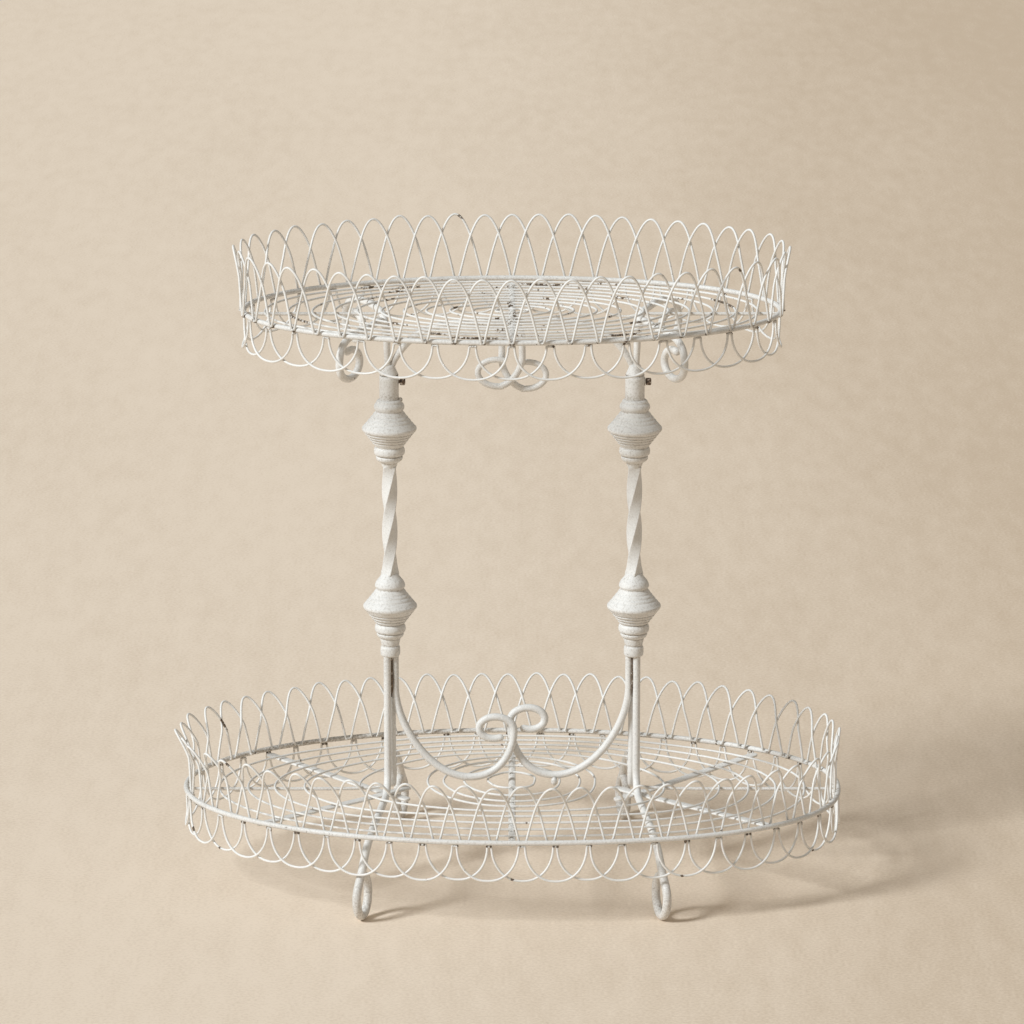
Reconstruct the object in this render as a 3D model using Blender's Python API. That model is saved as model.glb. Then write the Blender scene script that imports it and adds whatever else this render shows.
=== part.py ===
"""Two-tier oval wirework plant stand on two turned columns.

Units are metres and +Z is up. +X runs along the trays' long axis, left is -X and
front is -Y. The origin is on the floor, below the middle of the stand.
"""

import math

import bmesh
import bpy
import numpy as np
from mathutils import Vector

# Stock that the stand is bent and cut from
WIRE_DIAMETER = 0.0032
RIM_DIAMETER = 0.008
ROD_DIAMETER = 0.009
SPINE_DIAMETER = 0.0064
END_ROD_DIAMETER = 0.0045
STRAP_WIDTH = 0.012
STRAP_THICKNESS = 0.003
BAR_SIDE = 0.0127

# Room left between pieces that touch
GAP = 0.0003

# Lower tray
LOWER_HALF_LENGTH = 0.394
LOWER_HALF_WIDTH = 0.240
LOWER_RIM_HEIGHT = 0.106
LOWER_ARCH_HEIGHT = 0.071
LOWER_ARCH_SPACING = 0.0343
LOWER_FLARE = 0.0165
LOWER_SCALLOP_DEPTH = 0.042
LOWER_SCALLOP_SPACING = 0.039
OUTER_OVALS = 6
INNER_OVALS = 3
COLUMN_CLEAR_WAY = 0.026

# Upper tray
UPPER_HALF_LENGTH = 0.319
UPPER_HALF_WIDTH = 0.186
UPPER_RIM_HEIGHT = 0.692
UPPER_RISE = 0.0796
UPPER_ARCH_HEIGHT = 0.078
UPPER_ARCH_SPACING = 0.0338
UPPER_FLARE = 0.007
UPPER_SCALLOP_DEPTH = 0.039
UPPER_SCALLOP_SPACING = 0.045
UPPER_OVALS = 7

# Shape of the hoops: share of two spacings that a hoop spans, and the power of its curve
ARCH_SPAN = 0.87
ARCH_POWER = 2.0
SCALLOP_SPAN = 0.91
SCALLOP_POWER = 2.9
FLARE_START = 0.6

# Straps under the lower tray
STRAP_ANGLE = math.radians(44)
STRAP_TAIL = 0.030
STRAP_LEVEL_RUN = 0.025
STRAP_END_ROOM = 0.0008

# Columns: where they stand, and the members of their castings from the bottom up
COLUMN_HALF_SPACING = 0.146
COLUMN_RISE = 0.1612
RECESS_DEPTH = 0.007
BEAD_WALL = 0.0014
BEAD_HEIGHT = 0.010
COVE_RADIUS = 0.0114
COVE_HEIGHT = 0.006
FLARE_HEIGHT = 0.018
RING_RADIUS = 0.0182
RING_HEIGHT = 0.0035
NECK_RADIUS = 0.0167
NECK_HEIGHT = 0.0030
BULB_RADIUS = 0.032
BULB_BAND = 0.0030
LOWER_CONE_HEIGHT = 0.0195
CONE_STEPS = 3
CONE_STEP_DEPTH = 0.0012
UPPER_CONE_HEIGHT = 0.0205
WAIST_RADIUS = 0.0158
COLLAR_RADIUS = 0.0178
COLLAR_HEIGHT = 0.0035
COLLAR_LIFT = 0.0035
TAPER_HEIGHT = 0.0104
BAR_TWIST = math.radians(230)
BUTTON_RADIUS = 0.0157
BUTTON_HEIGHT = 0.008
SOCKET_SHOULDER = 0.0058
SOCKET_LENGTH = 0.030
SOCKET_WALL = 0.0031
PLUG_RADIUS = 0.0083
PLUG_LENGTH = 0.040
PLUG_END_ROOM = 0.002
PLUG_CAP_HEIGHT = 0.0105

# Square-headed set screw
SCREW_DROP = 0.0075
SCREW_RADIUS = 0.0025
SCREW_STANDOFF = 0.0012
SCREW_HEAD_SIDE = 0.0082
SCREW_HEAD_LENGTH = 0.0065

# Legs and feet
LEG_BEND = 0.028
FRONT_FOOT_X = 0.169
REAR_FOOT_X = 0.146
FOOT_HALF_DEPTH = 0.020
FOOT_HALF_HEIGHT = 0.0275
FOOT_TIGHTENING = 0.015
FOOT_CLEARANCE = 0.005
FOOT_NECK = 1.09
FOOT_NECK_SLOPE = math.radians(60)
FRONT_FOOT_TURN = math.radians(13)
REAR_FOOT_TURN = math.radians(-14)

# Brackets under the upper tray
BRACKET_BEND = 0.028
BRACKET_CURL_X = 0.182
BRACKET_HALF_DEPTH = 0.024
BRACKET_HALF_HEIGHT = 0.019
BRACKET_TIGHTENING = 0.03
BRACKET_CLEARANCE = 0.009
BRACKET_HEADROOM = 0.005
BRACKET_TURN = math.radians(12)

# Scrolls in the middle of the lower tray
LOWER_SCROLL_LOW_X = 0.051
LOWER_SCROLL_CLEARANCE = 0.0075
LOWER_SCROLL_CURL_RISE = 0.071
LOWER_SCROLL_HALF_WIDTH = 0.0225
LOWER_SCROLL_HALF_HEIGHT = 0.016
LOWER_SCROLL_REACH = 0.0025
RIGHT_LOWER_SCROLL_LIFT = 0.009
LOWER_SCROLL_STRAIGHT = 0.038

# Scrolls under the middle of the upper tray
UPPER_SCROLL_CURL_DROP = 0.0735
RIGHT_UPPER_SCROLL_DROP = 0.005
UPPER_SCROLL_HALF_WIDTH = 0.028
UPPER_SCROLL_HALF_HEIGHT = 0.0192
UPPER_SCROLL_REACH = 0.012
UPPER_SCROLL_UPRIGHT = 0.004
UPPER_SCROLL_LEAN = math.radians(20)
SCROLL_TIGHTENING = 0.055

# Facets
WIRE_SIDES = 3
ROD_SIDES = 6
TURNED_SIDES = 12
OVAL_FACET = 0.075
CURL_STEP = math.radians(36)
MITRE_LIMIT = 1.12
FINE_STEPS = 2400

# Colours, with roughness and metallic value
WHITE_WIRE = ((0.80, 0.78, 0.73), 0.55, 0.0)
WHITE_ROD = ((0.81, 0.79, 0.75), 0.50, 0.0)
WHITE_CASTING = ((0.82, 0.80, 0.76), 0.52, 0.0)
RUSTY_STEEL = ((0.16, 0.11, 0.08), 0.70, 0.8)

UP = Vector((0.0, 0.0, 1.0))
SIDES = {"left": -1.0, "right": 1.0}


def facet_radius(diameter, sides):
    """Corner radius that gives a faceted bar the girth of a round one."""
    return diameter * math.pi / (2.0 * sides * math.sin(math.pi / sides))


WIRE = facet_radius(WIRE_DIAMETER, WIRE_SIDES)
RIM = facet_radius(RIM_DIAMETER, ROD_SIDES)
ROD = facet_radius(ROD_DIAMETER, ROD_SIDES)
SPINE = facet_radius(SPINE_DIAMETER, ROD_SIDES)
END_ROD = facet_radius(END_ROD_DIAMETER, ROD_SIDES)

# Half-heights of bars whose first corner lies level
ROD_FLAT = math.cos(math.pi / ROD_SIDES)
WIRE_FLAT = math.sin(2.0 * math.pi / WIRE_SIDES)
WIRE_BACK = math.cos(math.pi / WIRE_SIDES)

# Two wires that cross stand this far apart, one flat back to one corner
WEAVE = (WIRE * (1.0 + WIRE_BACK) + GAP) / 2.0

# Three rods gathered in a triangle
BUNDLE = (2.0 * ROD + GAP) / math.sqrt(3.0)
BUNDLE_RADIUS = BUNDLE + ROD

# Turned faces lie inside their corners by this ratio
TURNED_FLAT = math.cos(math.pi / TURNED_SIDES)
RECESS_RADIUS = (BUNDLE_RADIUS + GAP) / TURNED_FLAT
BEAD_RADIUS = RECESS_RADIUS + BEAD_WALL
BORE_RADIUS = PLUG_RADIUS + GAP / TURNED_FLAT
SOCKET_RADIUS = BORE_RADIUS + SOCKET_WALL
PLUG_CAP_RADIUS = BUNDLE_RADIUS / TURNED_FLAT

# From the middle of the square bar to its corners
BAR_CORNER = BAR_SIDE / math.sqrt(2.0)

# Heights of the column's pieces, from the floor
FOOT_TURNING_Z = LOWER_RIM_HEIGHT + COLUMN_RISE


def polygon(radius, sides):
    """Corners of a regular outline, the first on its first axis."""
    turns = [2.0 * math.pi * i / sides for i in range(sides)]
    return [(radius * math.cos(t), radius * math.sin(t)) for t in turns]


def rectangle(width, height):
    """Corners of a flat bar's outline."""
    return [(width / 2, height / 2), (-width / 2, height / 2),
            (-width / 2, -height / 2), (width / 2, -height / 2)]


def loft(rings, closed=False):
    """Skin rings that have the same count of points into one closed body."""
    bm = bmesh.new()
    loops = [[bm.verts.new(point) for point in ring] for ring in rings]
    pairs = list(zip(loops, loops[1:]))
    if closed:
        pairs.append((loops[-1], loops[0]))
    else:
        bm.faces.new(loops[0])
        bm.faces.new(loops[-1])
    for near, far in pairs:
        for i in range(len(near)):
            j = (i + 1) % len(near)
            bm.faces.new((near[i], near[j], far[j], far[i]))
    bmesh.ops.recalc_face_normals(bm, faces=bm.faces)
    return bm


def sweep(path, guides, outline, closed=False):
    """Carry an outline along a path, its first axis held towards each guide and its corners mitred."""
    rings = []
    last = len(path) - 1
    for i, (point, guide) in enumerate(zip(path, guides)):
        arrive = (point - path[i - 1]).normalized()
        leave = (path[(i + 1) % len(path)] - point).normalized()
        if not closed and i == 0:
            arrive = leave
        if not closed and i == last:
            leave = arrive
        along = (arrive + leave).normalized()
        first = (guide - along * guide.dot(along)).normalized()
        second = along.cross(first)
        across = (leave - arrive).normalized()
        widening = min(MITRE_LIMIT, 1.0 / along.dot(leave)) - 1.0
        ring = []
        for u, v in outline:
            offset = first * u + second * v
            ring.append(point + offset + across * (widening * offset.dot(across)))
        rings.append(ring)
    return loft(rings, closed)


def turned(profile):
    """Spin a profile of (radius, height) pairs about the Z axis and cap both ends."""
    circle = polygon(1.0, TURNED_SIDES)
    return loft([[(r * u, r * v, z) for u, v in circle] for r, z in profile])


def bezier(start, leave, arrive, end, steps):
    """Points of a cubic curve after its start."""
    points = []
    for i in range(1, steps + 1):
        t = i / steps
        s = 1.0 - t
        points.append(tuple(
            s ** 3 * a + 3 * s * s * t * b + 3 * s * t * t * c + t ** 3 * d
            for a, b, c, d in zip(start, leave, arrive, end)))
    return points


def curl(centre, half_width, half_height, steps, turn, tightening):
    """Points of a scroll that starts on its centre's right and tightens after the third step."""
    points = []
    loose = 3
    for i in range(1, steps + 1):
        size = 1.0 - tightening * max(0, i - loose)
        angle = turn * i * CURL_STEP
        points.append((centre[0] + size * half_width * math.cos(angle),
                       centre[1] + size * half_height * math.sin(angle)))
    return points


class Oval:
    """An ellipse seen from above, with corners halfway between equal steps of its own length."""

    def __init__(self, half_length, half_width, spacing):
        angles = np.linspace(0.0, 2.0 * math.pi, FINE_STEPS + 1)
        x = half_length * np.cos(angles)
        y = half_width * np.sin(angles)
        way = np.concatenate(([0.0], np.cumsum(np.hypot(np.diff(x), np.diff(y)))))
        self.length = way[-1]
        self.count = self.whole_steps(spacing)
        steps = np.arange(self.count) + 0.5
        marks = np.interp(steps * self.length / self.count, way, angles)
        self.corners = [Vector((half_length * math.cos(t), half_width * math.sin(t), 0.0))
                        for t in marks]
        self.outward = [Vector((half_width * math.cos(t), half_length * math.sin(t), 0.0)).normalized()
                        for t in marks]

    def whole_steps(self, spacing):
        """Count of steps near a spacing, the same in each quarter."""
        return 4 * round(self.length / spacing / 4)

    def at(self, turn):
        """Point and outward direction on the faceted oval, at a share of its whole turn."""
        place = turn * self.count - 0.5
        index = math.floor(place)
        share = place - index
        here = index % self.count
        there = (index + 1) % self.count
        point = self.corners[here].lerp(self.corners[there], share)
        outward = self.outward[here].lerp(self.outward[there], share).normalized()
        return point, outward


class Tray:
    """Sizes of one tray and the levels of its floor."""

    def __init__(self, half_length, half_width, rim_height, arch_spacing):
        self.half_length = half_length
        self.half_width = half_width
        self.rim_height = rim_height
        self.rim = Oval(half_length, half_width, arch_spacing)
        self.support_top = rim_height - RIM * ROD_FLAT - GAP
        self.floor = self.support_top + GAP + WIRE * WIRE_FLAT
        self.support_inset = RIM / 2 + GAP

    def rim_depth(self, x):
        """Distance of the rim from the long axis at a place along it."""
        return self.half_width * math.sqrt(1.0 - (x / self.half_length) ** 2)


def add(name, bm, finish, parent, location=(0.0, 0.0, 0.0)):
    """Make a named object of a body, with its own material, shaded smooth where it is round."""
    mesh = bpy.data.meshes.new(name)
    bm.to_mesh(mesh)
    bm.free()
    mesh.shade_smooth()
    mesh.set_sharp_from_angle(angle=math.radians(62))
    colour, roughness, metallic = finish
    material = bpy.data.materials.new(name + "_finish")
    material.use_nodes = True
    shader = material.node_tree.nodes["Principled BSDF"]
    shader.inputs["Base Color"].default_value = (*colour, 1.0)
    shader.inputs["Roughness"].default_value = roughness
    shader.inputs["Metallic"].default_value = metallic
    mesh.materials.append(material)
    thing = bpy.data.objects.new(name, mesh)
    bpy.context.scene.collection.objects.link(thing)
    thing.parent = parent
    thing.location = location
    return thing


def add_empty(name, parent=None):
    """Make an empty that carries other objects."""
    empty = bpy.data.objects.new(name, None)
    bpy.context.scene.collection.objects.link(empty)
    empty.parent = parent
    return empty


def straight_rod(start, end, radius):
    """A round rod between two points, with level flats."""
    side = (end - start).cross(UP)
    return sweep([start, end], [side, side], polygon(radius, ROD_SIDES))


def hoop_wire(oval, count, first, span, power, samples, level, height, seat, weave, flare):
    """One wire bent into every second hoop round an oval, feet at the level and crown at the height."""
    crown = 1.0 - abs(samples[len(samples) // 2]) ** power
    weave *= math.hypot(1.0, flare / (height * (1.0 - FLARE_START)))
    path = []
    guides = []
    for hoop in range(first, count, 2):
        for w in samples:
            rise = (1.0 - abs(w) ** power) / crown
            lean = max(0.0, rise - FLARE_START) / (1.0 - FLARE_START)
            point, outward = oval.at((hoop + w * span) / count)
            shift = seat + flare * lean
            if abs(w) < 1.0:
                shift += weave
            path.append(point + outward * shift + UP * (level + height * rise))
            guides.append(outward)
    return sweep(path, guides, polygon(WIRE, WIRE_SIDES), closed=True)


def add_fence(tray, name, parent, arch_height, seat, flare, scallop_depth, scallop_spacing):
    """Rim, woven arch wires above it and woven scallop wires below it."""
    rim_path = [corner + UP * tray.rim_height for corner in tray.rim.corners]
    rim_body = sweep(rim_path, tray.rim.outward, polygon(RIM, ROD_SIDES), closed=True)
    add(name + "_rim", rim_body, WHITE_ROD, parent)
    arch_samples = (-1.0, -0.62, -0.2, 0.2, 0.62, 1.0)
    scallop_samples = (-1.0, -0.75, -0.3, 0.3, 0.75, 1.0)
    scallop_level = tray.support_top - WIRE * WIRE_FLAT
    scallop_count = tray.rim.whole_steps(scallop_spacing)
    for first, place, weave in ((0, "outer", WEAVE), (1, "inner", -WEAVE)):
        arches = hoop_wire(tray.rim, tray.rim.count, first, ARCH_SPAN, ARCH_POWER, arch_samples,
                           tray.rim_height, arch_height, seat, weave, flare)
        add(f"{name}_arch_wire_{place}", arches, WHITE_WIRE, parent)
        scallops = hoop_wire(tray.rim, scallop_count, first, SCALLOP_SPAN, SCALLOP_POWER,
                             scallop_samples, scallop_level, -scallop_depth, 0.0, weave, 0.0)
        add(f"{name}_scallop_wire_{place}", scallops, WHITE_WIRE, parent)


def add_floor(tray, name, parent, half_sizes, end_rod_start):
    """Oval wires on a spine across the tray and on end rods along it."""
    for number, (half_length, half_width) in enumerate(half_sizes, 1):
        mean_radius = math.sqrt((half_length ** 2 + half_width ** 2) / 2)
        facets = max(10, 2 * round(math.pi * mean_radius / OVAL_FACET))
        turns = [2.0 * math.pi * i / facets for i in range(facets)]
        path = [Vector((half_length * math.cos(t), half_width * math.sin(t), tray.floor)) for t in turns]
        guides = [Vector((half_width * math.cos(t), half_length * math.sin(t), 0.0)) for t in turns]
        oval = sweep(path, guides, polygon(WIRE, WIRE_SIDES), closed=True)
        add(f"{name}_floor_oval_{number}", oval, WHITE_WIRE, parent)
    spine_end = Vector((0.0, tray.half_width - tray.support_inset, tray.support_top - SPINE * ROD_FLAT))
    spine_start = Vector((0.0, -spine_end.y, spine_end.z))
    add(name + "_spine", straight_rod(spine_start, spine_end, SPINE), WHITE_ROD, parent)
    for side, sign in SIDES.items():
        level = tray.support_top - END_ROD * ROD_FLAT
        inner = Vector((sign * end_rod_start, 0.0, level))
        outer = Vector((sign * (tray.half_length - tray.support_inset), 0.0, level))
        add(f"{name}_end_rod_{side}", straight_rod(inner, outer, END_ROD), WHITE_ROD, parent)


def add_straps(tray, parent):
    """Flat bars crossed in pairs under the columns and the end rods, rising to the rim's underside."""
    crossing_top = tray.support_top - 2.0 * END_ROD * ROD_FLAT - GAP
    reach = tray.half_length - tray.support_inset
    depth = tray.half_width - tray.support_inset
    for side, sign in SIDES.items():
        for layer, (end, y_sign) in enumerate((("front", -1.0), ("back", 1.0))):
            heading = Vector((sign * math.cos(STRAP_ANGLE), y_sign * math.sin(STRAP_ANGLE), 0.0))
            column = Vector((sign * COLUMN_HALF_SPACING, 0.0, 0.0))
            # The strap ends where its line meets the oval inside the rim
            a = (heading.x / reach) ** 2 + (heading.y / depth) ** 2
            b = column.x * heading.x / reach ** 2
            c = (column.x / reach) ** 2 - 1.0
            length = (math.sqrt(b * b - a * c) - b) / a
            low = crossing_top - STRAP_THICKNESS / 2 - layer * (STRAP_THICKNESS + GAP)
            high = tray.support_top - STRAP_THICKNESS / 2
            path = [column - heading * STRAP_TAIL + UP * low,
                    column + heading * STRAP_LEVEL_RUN + UP * low,
                    column + heading * (length - STRAP_END_ROOM) + UP * high]
            across = heading.cross(UP)
            bar = sweep(path, [across] * len(path), rectangle(STRAP_WIDTH, STRAP_THICKNESS))
            add(f"lower_strap_{side}_{end}", bar, WHITE_ROD, parent)


def bundle_place(sign, row):
    """Plan position of a rod in a column's bundle: scroll inwards, front and rear rods outwards."""
    if row == "scroll":
        return Vector((sign * (COLUMN_HALF_SPACING - BUNDLE), 0.0, 0.0))
    y_sign = -1.0 if row == "front" else 1.0
    return Vector((sign * (COLUMN_HALF_SPACING + BUNDLE / 2), y_sign * BUNDLE * math.sqrt(3.0) / 2, 0.0))


def curled_rod(start, foot, turn, start_height, run_height, bend, curl_centre_height, half_depth,
               half_height, tightening, necked):
    """A rod that leaves its bundle upright, runs out level and ends in a scroll.

    The scroll's plane turns outwards from the run by an angle, about the place where it leaves the run.
    A necked rod drops to a neck above the scroll's middle, from which the scroll bulges out.
    """
    reach = (foot - start).length
    heading = (foot - start).normalized()
    toward = 1.0 if start_height > run_height else -1.0
    side_profile = [(0.0, start_height)]
    for i in range(4):
        angle = math.radians(180 + toward * 30 * i)
        side_profile.append((bend + bend * math.cos(angle),
                             run_height + toward * bend + bend * math.sin(angle)))
    leave = reach - 2.2 * half_depth
    front = (reach + half_depth, curl_centre_height)
    side_profile.append((leave, run_height))
    if necked:
        neck = (reach, curl_centre_height + FOOT_NECK * half_height)
        out = 0.5 * half_depth * math.cos(FOOT_NECK_SLOPE)
        down = 0.5 * half_depth * math.sin(FOOT_NECK_SLOPE)
        side_profile += bezier((leave, run_height), (reach - half_depth, run_height),
                               (neck[0] - out, neck[1] + down), neck, 3)
        side_profile += bezier(neck, (neck[0] + out, neck[1] - down),
                               (front[0], front[1] + half_height / 2), front, 3)
    else:
        side_profile += bezier((leave, run_height), (reach, run_height),
                               (front[0], run_height), front, 3)
    side_profile += curl((reach, curl_centre_height), half_depth, half_height, 8, -1.0, tightening)
    pivot = reach - 1.6 * half_depth
    cos_turn = math.cos(turn)
    sin_turn = math.sin(turn)
    turned_heading = Vector((heading.x * cos_turn - heading.y * sin_turn,
                             heading.x * sin_turn + heading.y * cos_turn, 0.0))
    path = []
    guides = []
    for distance, height in side_profile:
        straight = min(distance, pivot)
        beyond = max(0.0, distance - pivot)
        path.append(start + heading * straight + turned_heading * beyond + UP * height)
        guides.append((turned_heading if beyond > 0.0 else heading).cross(UP))
    return sweep(path, guides, polygon(ROD, ROD_SIDES))


def add_curled_rods(tray, name, parent, places, start_height, run_height, bend, centre_height,
                    half_depth, half_height, tightening, clearance, necked):
    """Front and rear rods of both columns, whose necks or whole scrolls lie inside the scallops."""
    for side, sign in SIDES.items():
        for end, x, turn in places:
            y_sign = -1.0 if end == "front" else 1.0
            room = ROD + WIRE + WEAVE + clearance
            if not necked:
                room += half_depth
            foot = Vector((sign * x, y_sign * (tray.rim_depth(x) - room), 0.0))
            rod = curled_rod(bundle_place(sign, end), foot, -sign * y_sign * turn, start_height,
                             run_height, bend, centre_height, half_depth, half_height, tightening,
                             necked)
            add(f"{name}_{end}_{side}", rod, WHITE_ROD, parent)


def scroll_sweep(profile, sign, start, fade):
    """Carry a rod along a scroll profile of (distance past the middle, height) pairs.

    Distances are negative on the rod's own side. The two rods pass each other at the middle, so each
    moves off the long axis as it nears it.
    """
    own_side = -abs(start.x)
    path = []
    for out, height in profile:
        share = min(1.0, (out - own_side) / fade)
        path.append(Vector((-sign * out, sign * (ROD + GAP / 2) * share, height)))
    guide = Vector((0.0, 1.0, 0.0))
    return sweep(path, [guide] * len(path), polygon(ROD, ROD_SIDES))


def add_lower_scrolls(tray, parent, top):
    """Rods that sweep down from the columns to the tray's middle, cross and curl upwards."""
    low = tray.floor + WIRE * WIRE_FLAT + ROD * ROD_FLAT + LOWER_SCROLL_CLEARANCE
    for side, sign in SIDES.items():
        start = bundle_place(sign, "scroll")
        own = -abs(start.x)
        lift = RIGHT_LOWER_SCROLL_LIFT if sign > 0 else 0.0
        straight_end = FOOT_TURNING_Z - LOWER_SCROLL_STRAIGHT
        low_point = (-LOWER_SCROLL_LOW_X, low)
        centre = (LOWER_SCROLL_REACH - LOWER_SCROLL_HALF_WIDTH,
                  tray.rim_height + LOWER_SCROLL_CURL_RISE + lift)
        right = (LOWER_SCROLL_REACH, centre[1])
        profile = [(own, top), (own, straight_end)]
        profile += bezier(profile[-1], (own, low + 0.6 * (straight_end - low)),
                          (own + 0.45 * (low_point[0] - own), low), low_point, 5)
        profile += bezier(low_point, (0.3 * low_point[0], low),
                          (right[0], low + 0.5 * (right[1] - low)), right, 3)
        profile += curl(centre, LOWER_SCROLL_HALF_WIDTH, LOWER_SCROLL_HALF_HEIGHT, 9, 1.0,
                        SCROLL_TIGHTENING)
        body = scroll_sweep(profile, sign, start, abs(own) - LOWER_SCROLL_LOW_X)
        add(f"lower_scroll_{side}", body, WHITE_ROD, parent)


def add_upper_scrolls(tray, parent, bottom):
    """Rods that rise from the plugs, run in under the spine, turn down, cross and curl."""
    run = tray.support_top - 2.0 * SPINE * ROD_FLAT - GAP - ROD * ROD_FLAT
    for side, sign in SIDES.items():
        start = bundle_place(sign, "scroll")
        own = -abs(start.x)
        drop = UPPER_SCROLL_CURL_DROP + (RIGHT_UPPER_SCROLL_DROP if sign > 0 else 0.0)
        centre = (UPPER_SCROLL_REACH - UPPER_SCROLL_HALF_WIDTH, tray.rim_height - drop)
        right = (UPPER_SCROLL_REACH, centre[1])
        upright_end = (own, bottom + UPPER_SCROLL_UPRIGHT)
        climb = run - upright_end[1]
        leaning = (own + 0.5 * climb * math.tan(UPPER_SCROLL_LEAN), upright_end[1] + 0.5 * climb)
        level_start = (own + climb, run)
        turn_start = (centre[0], run)
        profile = [(own, bottom), upright_end]
        profile += bezier(upright_end, leaning, (own + 0.5 * climb, run), level_start, 4)
        profile.append(turn_start)
        profile += bezier(turn_start, (UPPER_SCROLL_REACH, run), (UPPER_SCROLL_REACH, run), right, 4)
        profile += curl(centre, UPPER_SCROLL_HALF_WIDTH, UPPER_SCROLL_HALF_HEIGHT, 8, -1.0,
                        SCROLL_TIGHTENING)
        body = scroll_sweep(profile, sign, start, 0.5 * abs(own))
        add(f"upper_scroll_{side}", body, WHITE_ROD, parent)


def bulb_profile(z):
    """Ring, neck, stepped cone, bulb, waist and collar shared by both castings, and their top."""
    profile = [(RING_RADIUS, z), (RING_RADIUS, z + RING_HEIGHT)]
    z += RING_HEIGHT + NECK_HEIGHT
    rise = LOWER_CONE_HEIGHT / (CONE_STEPS + 1)
    spread = (BULB_RADIUS - NECK_RADIUS) / (CONE_STEPS + 1)
    profile.append((NECK_RADIUS, z))
    for step in range(1, CONE_STEPS + 1):
        radius = NECK_RADIUS + spread * step
        profile.append((radius, z + rise * step))
        profile.append((radius - CONE_STEP_DEPTH, z + rise * step + CONE_STEP_DEPTH))
    z += LOWER_CONE_HEIGHT
    profile += [(BULB_RADIUS, z), (BULB_RADIUS, z + BULB_BAND)]
    z += BULB_BAND + UPPER_CONE_HEIGHT
    profile.append((WAIST_RADIUS, z))
    z += COLLAR_LIFT
    profile += [(COLLAR_RADIUS, z), (COLLAR_RADIUS, z + COLLAR_HEIGHT)]
    return profile, z + COLLAR_HEIGHT


def foot_turning():
    """Casting over the rod bundle, from the recess in its underside up to the bar's seat."""
    bead_mouth = (RECESS_RADIUS + BEAD_RADIUS) / 2
    ring_z = BEAD_HEIGHT + COVE_HEIGHT + FLARE_HEIGHT
    bulb, top = bulb_profile(ring_z)
    profile = [(RECESS_RADIUS, RECESS_DEPTH), (RECESS_RADIUS, 0.0), (bead_mouth, 0.0),
               (BEAD_RADIUS, BEAD_HEIGHT / 3), (BEAD_RADIUS, BEAD_HEIGHT),
               (COVE_RADIUS, BEAD_HEIGHT + COVE_HEIGHT)]
    profile += bulb
    profile.append((BAR_CORNER, top + TAPER_HEIGHT))
    return profile, top + TAPER_HEIGHT


def head_turning():
    """Casting on the bar's top, from the bar's seat up to the open socket."""
    bulb, collar_top = bulb_profile(TAPER_HEIGHT + BUTTON_HEIGHT)
    shoulder = collar_top + SOCKET_SHOULDER
    top = shoulder + SOCKET_LENGTH
    profile = [(BAR_CORNER, 0.0), (BUTTON_RADIUS, TAPER_HEIGHT)]
    profile += bulb
    profile += [(SOCKET_RADIUS, shoulder), (SOCKET_RADIUS, top), (BORE_RADIUS, top),
                (BORE_RADIUS, top - PLUG_LENGTH - PLUG_END_ROOM)]
    return profile, top


def twisted_bar(length):
    """Square bar twisted about its own length."""
    steps = 12
    heights = [length * i / steps for i in range(steps + 1)]
    turns = [BAR_TWIST * i / steps for i in range(steps + 1)]
    path = [Vector((0.0, 0.0, z)) for z in heights]
    guides = [Vector((math.cos(t), math.sin(t), 0.0)) for t in turns]
    return sweep(path, guides, polygon(BAR_CORNER, 4))


def set_screw():
    """Screw along +X from its tip at the bore's wall, with a square head clear of the socket."""
    tip = BORE_RADIUS
    neck = SOCKET_RADIUS + SCREW_STANDOFF
    half = SCREW_HEAD_SIDE / 2
    shank = polygon(SCREW_RADIUS, 8)
    square = [(half, 0.0), (half, half), (0.0, half), (-half, half),
              (-half, 0.0), (-half, -half), (0.0, -half), (half, -half)]
    stations = [(tip, shank), (neck, shank), (neck, square), (neck + SCREW_HEAD_LENGTH, square)]
    return loft([[(x, u, v) for u, v in outline] for x, outline in stations])


def drill(target, location, length):
    """Drill the set screw's hole through the socket's wall along +X."""
    bm = bmesh.new()
    bmesh.ops.create_cone(bm, cap_ends=True, segments=8, radius1=SCREW_RADIUS + GAP,
                          radius2=SCREW_RADIUS + GAP, depth=length)
    mesh = bpy.data.meshes.new(target.name + "_drill")
    bm.to_mesh(mesh)
    bm.free()
    cutter = bpy.data.objects.new(mesh.name, mesh)
    bpy.context.scene.collection.objects.link(cutter)
    cutter.location = location
    cutter.rotation_euler = (0.0, math.pi / 2, 0.0)
    cutter.hide_render = True
    cutter.display_type = "WIRE"
    cut = target.modifiers.new("screw_hole", "BOOLEAN")
    cut.operation = "DIFFERENCE"
    cut.solver = "EXACT"
    cut.object = cutter


def add_columns(parent, socket_top):
    """Both columns, from the rod bundles up to the sockets, with bars as long as that leaves."""
    foot_profile, foot_height = foot_turning()
    head_profile, head_height = head_turning()
    bar_z = FOOT_TURNING_Z + foot_height + GAP
    head_z = socket_top - head_height
    bar_length = head_z - GAP - bar_z
    screw_z = socket_top - SCREW_DROP
    for side, sign in SIDES.items():
        x = sign * COLUMN_HALF_SPACING
        add(f"foot_turning_{side}", turned(foot_profile), WHITE_CASTING, parent, (x, 0.0, FOOT_TURNING_Z))
        add(f"twisted_bar_{side}", twisted_bar(bar_length), WHITE_ROD, parent, (x, 0.0, bar_z))
        head = add(f"head_turning_{side}", turned(head_profile), WHITE_CASTING, parent, (x, 0.0, head_z))
        drill(head, (x + SOCKET_RADIUS, 0.0, screw_z), 4.0 * SOCKET_WALL)
        add(f"set_screw_{side}", set_screw(), RUSTY_STEEL, parent, (x, 0.0, screw_z))


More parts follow.
